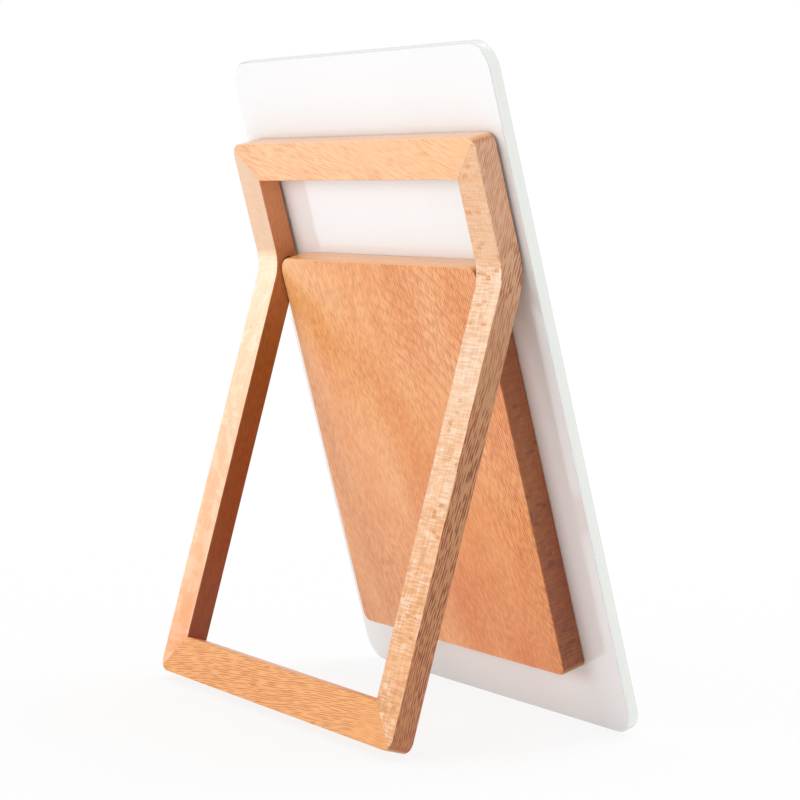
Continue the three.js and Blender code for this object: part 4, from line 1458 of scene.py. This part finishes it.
    @staticmethod
    def timbers() -> dict[Rail, Beech]:
        """Each rail's own timber, so that no two rails look alike.

        Returns:
            The rails' finishes.
        """
        across = Vector((1, 0, 0))
        along = LEG.direction(0, 0, 1)
        # The side shades and slopes are painted shade; the right rail's is darkest, as its face looking to
        # -X is its shaded inner face.
        return {
            Rail.LEFT: Beech(
                "beech of the left rail",
                pale=shade(244, 216, 187), deep=shade(236, 168, 100), fleck=shade(212, 138, 68),
                painted_side_shade=shade(246, 216, 199), painted_low_side_shade=shade(211, 173, 135), grain=along, rays=across,
                dash=(0.0042, 0.0011), dash_tone=shade(180, 106, 50), share=1.0, depth=0.85, weave=0.9,
                band=0.004, band_depth=0.2, cloud=0.15, painted_shade_slope=(0.0, 0.0, -2.8),
                place=(0.11, 0.53, 0.29)),
            Rail.RIGHT: Beech(
                "beech of the right rail",
                pale=shade(255, 234, 202), deep=shade(244, 162, 104), fleck=shade(186, 104, 56),
                painted_side_shade=shade(216, 155, 113), painted_low_side_shade=shade(155, 100, 34), grain=along, rays=across,
                dash=(0.0042, 0.0011), share=0.6, depth=0.35, weave=0.15,
                band=0.009, band_depth=0.2, cloud=0.15, painted_shade_slope=(0.0, 0.0, -3.8),
                lacquer=0.2, place=(0.4, 0.2, 0.9)),
            Rail.TOP: Beech(
                "beech of the top rail",
                pale=shade(250, 192, 141), deep=shade(241, 164, 107), fleck=shade(190, 96, 32),
                painted_side_shade=shade(236, 220, 204), painted_low_side_shade=shade(236, 220, 204),
                grain=PANEL.direction(1, 0, 0.3), rays=PANEL.direction(0, 1, 0),
                dash=(0.0070, 0.00095), share=0.8, depth=0.5,
                band=0.006, band_depth=0.3, cloud=0.5, place=(0.7, 0.1, 0.3)),
            Rail.BOTTOM: Beech(
                "beech of the bottom rail",
                pale=shade(236, 172, 106), deep=shade(226, 140, 66), fleck=shade(182, 90, 16),
                painted_side_shade=shade(236, 220, 204), painted_low_side_shade=shade(220, 190, 160),
                grain=LEG.direction(1, 0, -0.12), rays=LEG.direction(0, 1, 0),
                dash=(0.0085, 0.00105), share=0.95, depth=0.55,
                band=0.006, band_depth=0.3, cloud=0.3, lacquer=0.1, place=(0.2, 0.8, 0.5)),
        }

    def build(self) -> None:
        """Builds the four rails."""
        group = self.sweep_tree()
        timbers = self.timbers()
        self.side_rail(-1, Rail.LEFT, timbers[Rail.LEFT].make(), group)
        self.side_rail(1, Rail.RIGHT, timbers[Rail.RIGHT].make(), group)
        self.cross_rail(Rail.TOP, PANEL, self.top, self.top_inner, timbers[Rail.TOP].make())
        self.cross_rail(Rail.BOTTOM, LEG, self.foot, self.foot_inner, timbers[Rail.BOTTOM].make())


# ---------------------------------------------------------------- hardware
@dataclass(frozen=True)
class Eased:
    """A CAD node whose edges are to be rounded.

    Attributes:
        node: The node's name.
        body: The body that it moves with.
        radius: Radius of the rounding in metres.
        sharp: Edges over this many degrees are rounded.
    """

    node: str
    body: str
    radius: float
    sharp: float = 50


@dataclass
class Hardware:
    """The ports, the hinge, the pads and the electronics, dressed by the record's slots.

    Attributes:
        plate_arris: Radius of the port plate's edges.
        button_arris: Radius of the button's edges.
        socket_arris: Radius of the socket's rim.
        metal_arris: Radius of the edges of pins and washers.
        pad_arris: Radius of the pads' edges.
        weld: Distance under which a node's corners are joined.
        screen_border: Width of the dark border inside the window.
    """

    plate_arris: float = 0.25 * MM
    button_arris: float = 0.35 * MM
    socket_arris: float = 0.08 * MM
    metal_arris: float = 0.12 * MM
    pad_arris: float = 0.2 * MM
    weld: float = 0.002 * MM
    screen_border: float = 1.5 * MM

    def finishes(self) -> dict[str, bpy.types.Material]:
        """Makes one material for each slot of the record that these pieces use.

        Returns:
            The materials by slot.
        """
        low, high = Panel.window()
        border = self.screen_border
        half = ((high.x - low.x) / 2 - border, (high.z - low.z) / 2 - border)
        dowels = Beech(
            "beech of the dowels",
            pale=shade(232, 188, 140), deep=shade(214, 160, 110), fleck=shade(176, 112, 66),
            # painted side shade, as on the rails
            painted_side_shade=shade(240, 232, 224), painted_low_side_shade=shade(240, 232, 224),
            grain=PANEL.direction(1, 0, 1),
            rays=PANEL.direction(1, 0, 0).cross(PANEL.direction(0, 0, 1)))
        return {
            "foam": Moulded("foam", shade(42, 42, 44), 0.9, 3000, 0.0001).make(),
            "dowel_beech": dowels.make(),
            "screen_glass": Screen("screen glass", half, (low + high) / 2).make(),
            "tray_aluminium": Metal("tray aluminium", shade(222, 224, 226), 0.35).make(),
            "sheet_steel": Metal("sheet steel", shade(176, 180, 184), 0.4).make(),
            "bright_steel": Metal("bright steel", shade(190, 193, 196), 0.25, (4000, 4000, 300)).make(),
            "brass": Metal("brass", shade(204, 170, 96), 0.3).make(),
            "circuit_board": CircuitBoard("circuit board").make(),
            "chip_black": Moulded("chip black", shade(30, 31, 34), 0.5, 4000).make(),
            "shield_metal": Metal("shield metal", shade(198, 201, 204), 0.25).make(),
            "black_plastic": Moulded("black plastic", shade(40, 41, 44), 0.45).make(),
            "ribbon": Sheet("ribbon", shade(200, 138, 60), shade(170, 108, 44), 0.35, 0.2).make(),
            "grey_plastic": Moulded("grey plastic", shade(136, 139, 142), 0.4).make(),
            "black_nylon": Moulded("black nylon", shade(22, 22, 24), 0.5).make(),
            "rubber": Moulded("rubber", shade(56, 56, 58), 0.85, 1800, 0.00006).make(),
        }

    def eased(self) -> list[Eased]:
        """Lists the small pieces whose edges are rounded.

        Returns:
            The pieces.
        """
        pieces = [
            Eased("port_plate", "display", self.plate_arris),
            Eased("usb_socket", "display", self.socket_arris),
            Eased("power_button", "button", self.button_arris),
        ]
        for side in ("left", "right"):
            pieces += [
                Eased("hinge_pin_" + side, "display", self.metal_arris),
                Eased("hinge_washer_" + side, "stand", self.metal_arris),
                Eased("stop_pad_" + side, "stand", self.pad_arris),
                Eased("foot_pad_" + side, "stand", self.pad_arris),
            ]
        return pieces

    def ease(self, piece: Eased, slot: str, finish: bpy.types.Material) -> None:
        """Builds a piece from a joined copy of its CAD node, with rounded edges.

        Args:
            piece: Which node, and how far to round it.
            slot: The record's material slot. Not used.
            finish: The piece's material.
        """
        bm = bmesh.new()
        bm.from_mesh(frame["nodes"][piece.node].data)
        bmesh.ops.transform(bm, matrix=PANEL.matrix.inverted(), verts=bm.verts)
        bmesh.ops.remove_doubles(bm, verts=bm.verts, dist=self.weld)
        bmesh.ops.dissolve_limit(bm, angle_limit=math.radians(1), verts=bm.verts, edges=bm.edges)
        edges = [e for e in bm.edges if sharper_than(e, piece.sharp)]
        bmesh.ops.bevel(bm, geom=edges, offset=piece.radius, segments=3, profile=0.5, affect="EDGES",
                        clamp_overlap=True)
        place_piece("fine_" + piece.node, shaded(bm, 55), PANEL, piece.body, [finish], [piece.node])

    def build(self) -> None:
        """Builds the rounded pieces and gives every other CAD node that shows its finish."""
        finishes = self.finishes()
        slots = {part["node"]: part["material_slot"] for part in frame["record"]["subparts"]}
        for piece in self.eased():
            self.ease(piece, slots[piece.node], finishes[slots[piece.node]])
        for name, obj in frame["nodes"].items():
            if obj.hide_render:
                continue
            obj.data.materials.clear()
            obj.data.materials.append(finishes[slots[name]])
            LOG.info("%s: dressed as %s", name, slots[name])


# ---------------------------------------------------------------- studio
@dataclass
class Studio:
    """The floor, the lamps, the world and the camera.

    Attributes:
        place: The camera's place in metres.
        heading: Its turn about the vertical in degrees, 0 looking along +Y.
        pitch: Its tilt above the horizon in degrees.
        roll: Its turn about its own view in degrees.
        lens: Its focal length in millimetres.
        film: Its film's width in millimetres.
        ambient: The world's strength on the object.
        floor_radius: The floor's radius in metres.
        aim: The point that the lamps face, in metres.
    """

    place: tuple[float, float, float] = (-0.92341, 0.60463, 0.22440)
    heading: float = -123.328
    pitch: float = -4.101
    roll: float = 1.657
    lens: float = 105.62
    film: float = 36
    ambient: float = 0.6
    floor_radius: float = 4
    aim: tuple[float, float, float] = (0, 0, 0.15)

    def camera(self) -> None:
        """Makes the camera."""
        data = bpy.data.cameras.new("camera")
        data.lens, data.sensor_width = self.lens, self.film
        data.clip_start, data.clip_end = 0.01, 50
        obj = bpy.data.objects.new("camera", data)
        turn = (Matrix.Rotation(math.radians(self.heading), 4, "Z")
                @ Matrix.Rotation(math.radians(90 + self.pitch), 4, "X")
                @ Matrix.Rotation(math.radians(self.roll), 4, "Z"))
        obj.matrix_world = Matrix.Translation(self.place) @ turn
        bpy.context.scene.collection.objects.link(obj)
        bpy.context.scene.camera = obj

    def world(self) -> None:
        """Makes an even white world that lights the object less than it shows."""
        world = bpy.data.worlds.new("studio")
        world.use_nodes = True
        tree = Tree(world.node_tree)
        strength = tree.maths("MULTIPLY_ADD", tree.seen(), 1 - self.ambient, self.ambient)
        even = tree.add("ShaderNodeBackground", {"Color": (1, 1, 1, 1), "Strength": strength})
        tree.add("ShaderNodeOutputWorld", {"Surface": even.outputs[0]})
        bpy.context.scene.world = world

    def floor(self) -> None:
        """Makes the floor."""
        bm = bmesh.new()
        bmesh.ops.create_circle(bm, cap_ends=True, segments=96, radius=self.floor_radius)
        obj = bpy.data.objects.new("floor", as_mesh(bm))
        bpy.context.scene.collection.objects.link(obj)
        obj.data.materials.append(Ground("floor").make())

    def lamp(self, name: str, place: Sequence[float], power: float, size: float) -> None:
        """Makes a square soft lamp that faces the object.

        Args:
            name: Its name.
            place: Where it stands, in metres.
            power: Its power in watts.
            size: Its side in metres.
        """
        data = bpy.data.lights.new(name, "AREA")
        data.energy, data.size = power, size
        obj = bpy.data.objects.new(name, data)
        turn = (Vector(self.aim) - Vector(place)).to_track_quat("-Z", "Y").to_matrix().to_4x4()
        obj.matrix_world = Matrix.Translation(place) @ turn
        bpy.context.scene.collection.objects.link(obj)

    def build(self) -> None:
        """Makes the whole studio."""
        self.camera()
        self.world()
        self.floor()
        self.lamp("key", (0.5, 2.4, 0.2), power=43, size=2.0)
        self.lamp("top", (0.3, 0.2, 2.2), power=10, size=2.0)
        self.lamp("front", (0.2, -1.2, 2.4), power=20, size=1.3)
        bpy.context.scene.view_settings.view_transform = "Standard"


def main() -> None:
    """Builds the studio and every piece."""
    logging.basicConfig(level=logging.INFO, format="%(message)s")
    for part in (Studio(), Panel(), Housing(), Stand(), Hardware()):
        LOG.info("building %s", type(part).__name__)
        part.build()


if __name__ == "__main__":
    main()
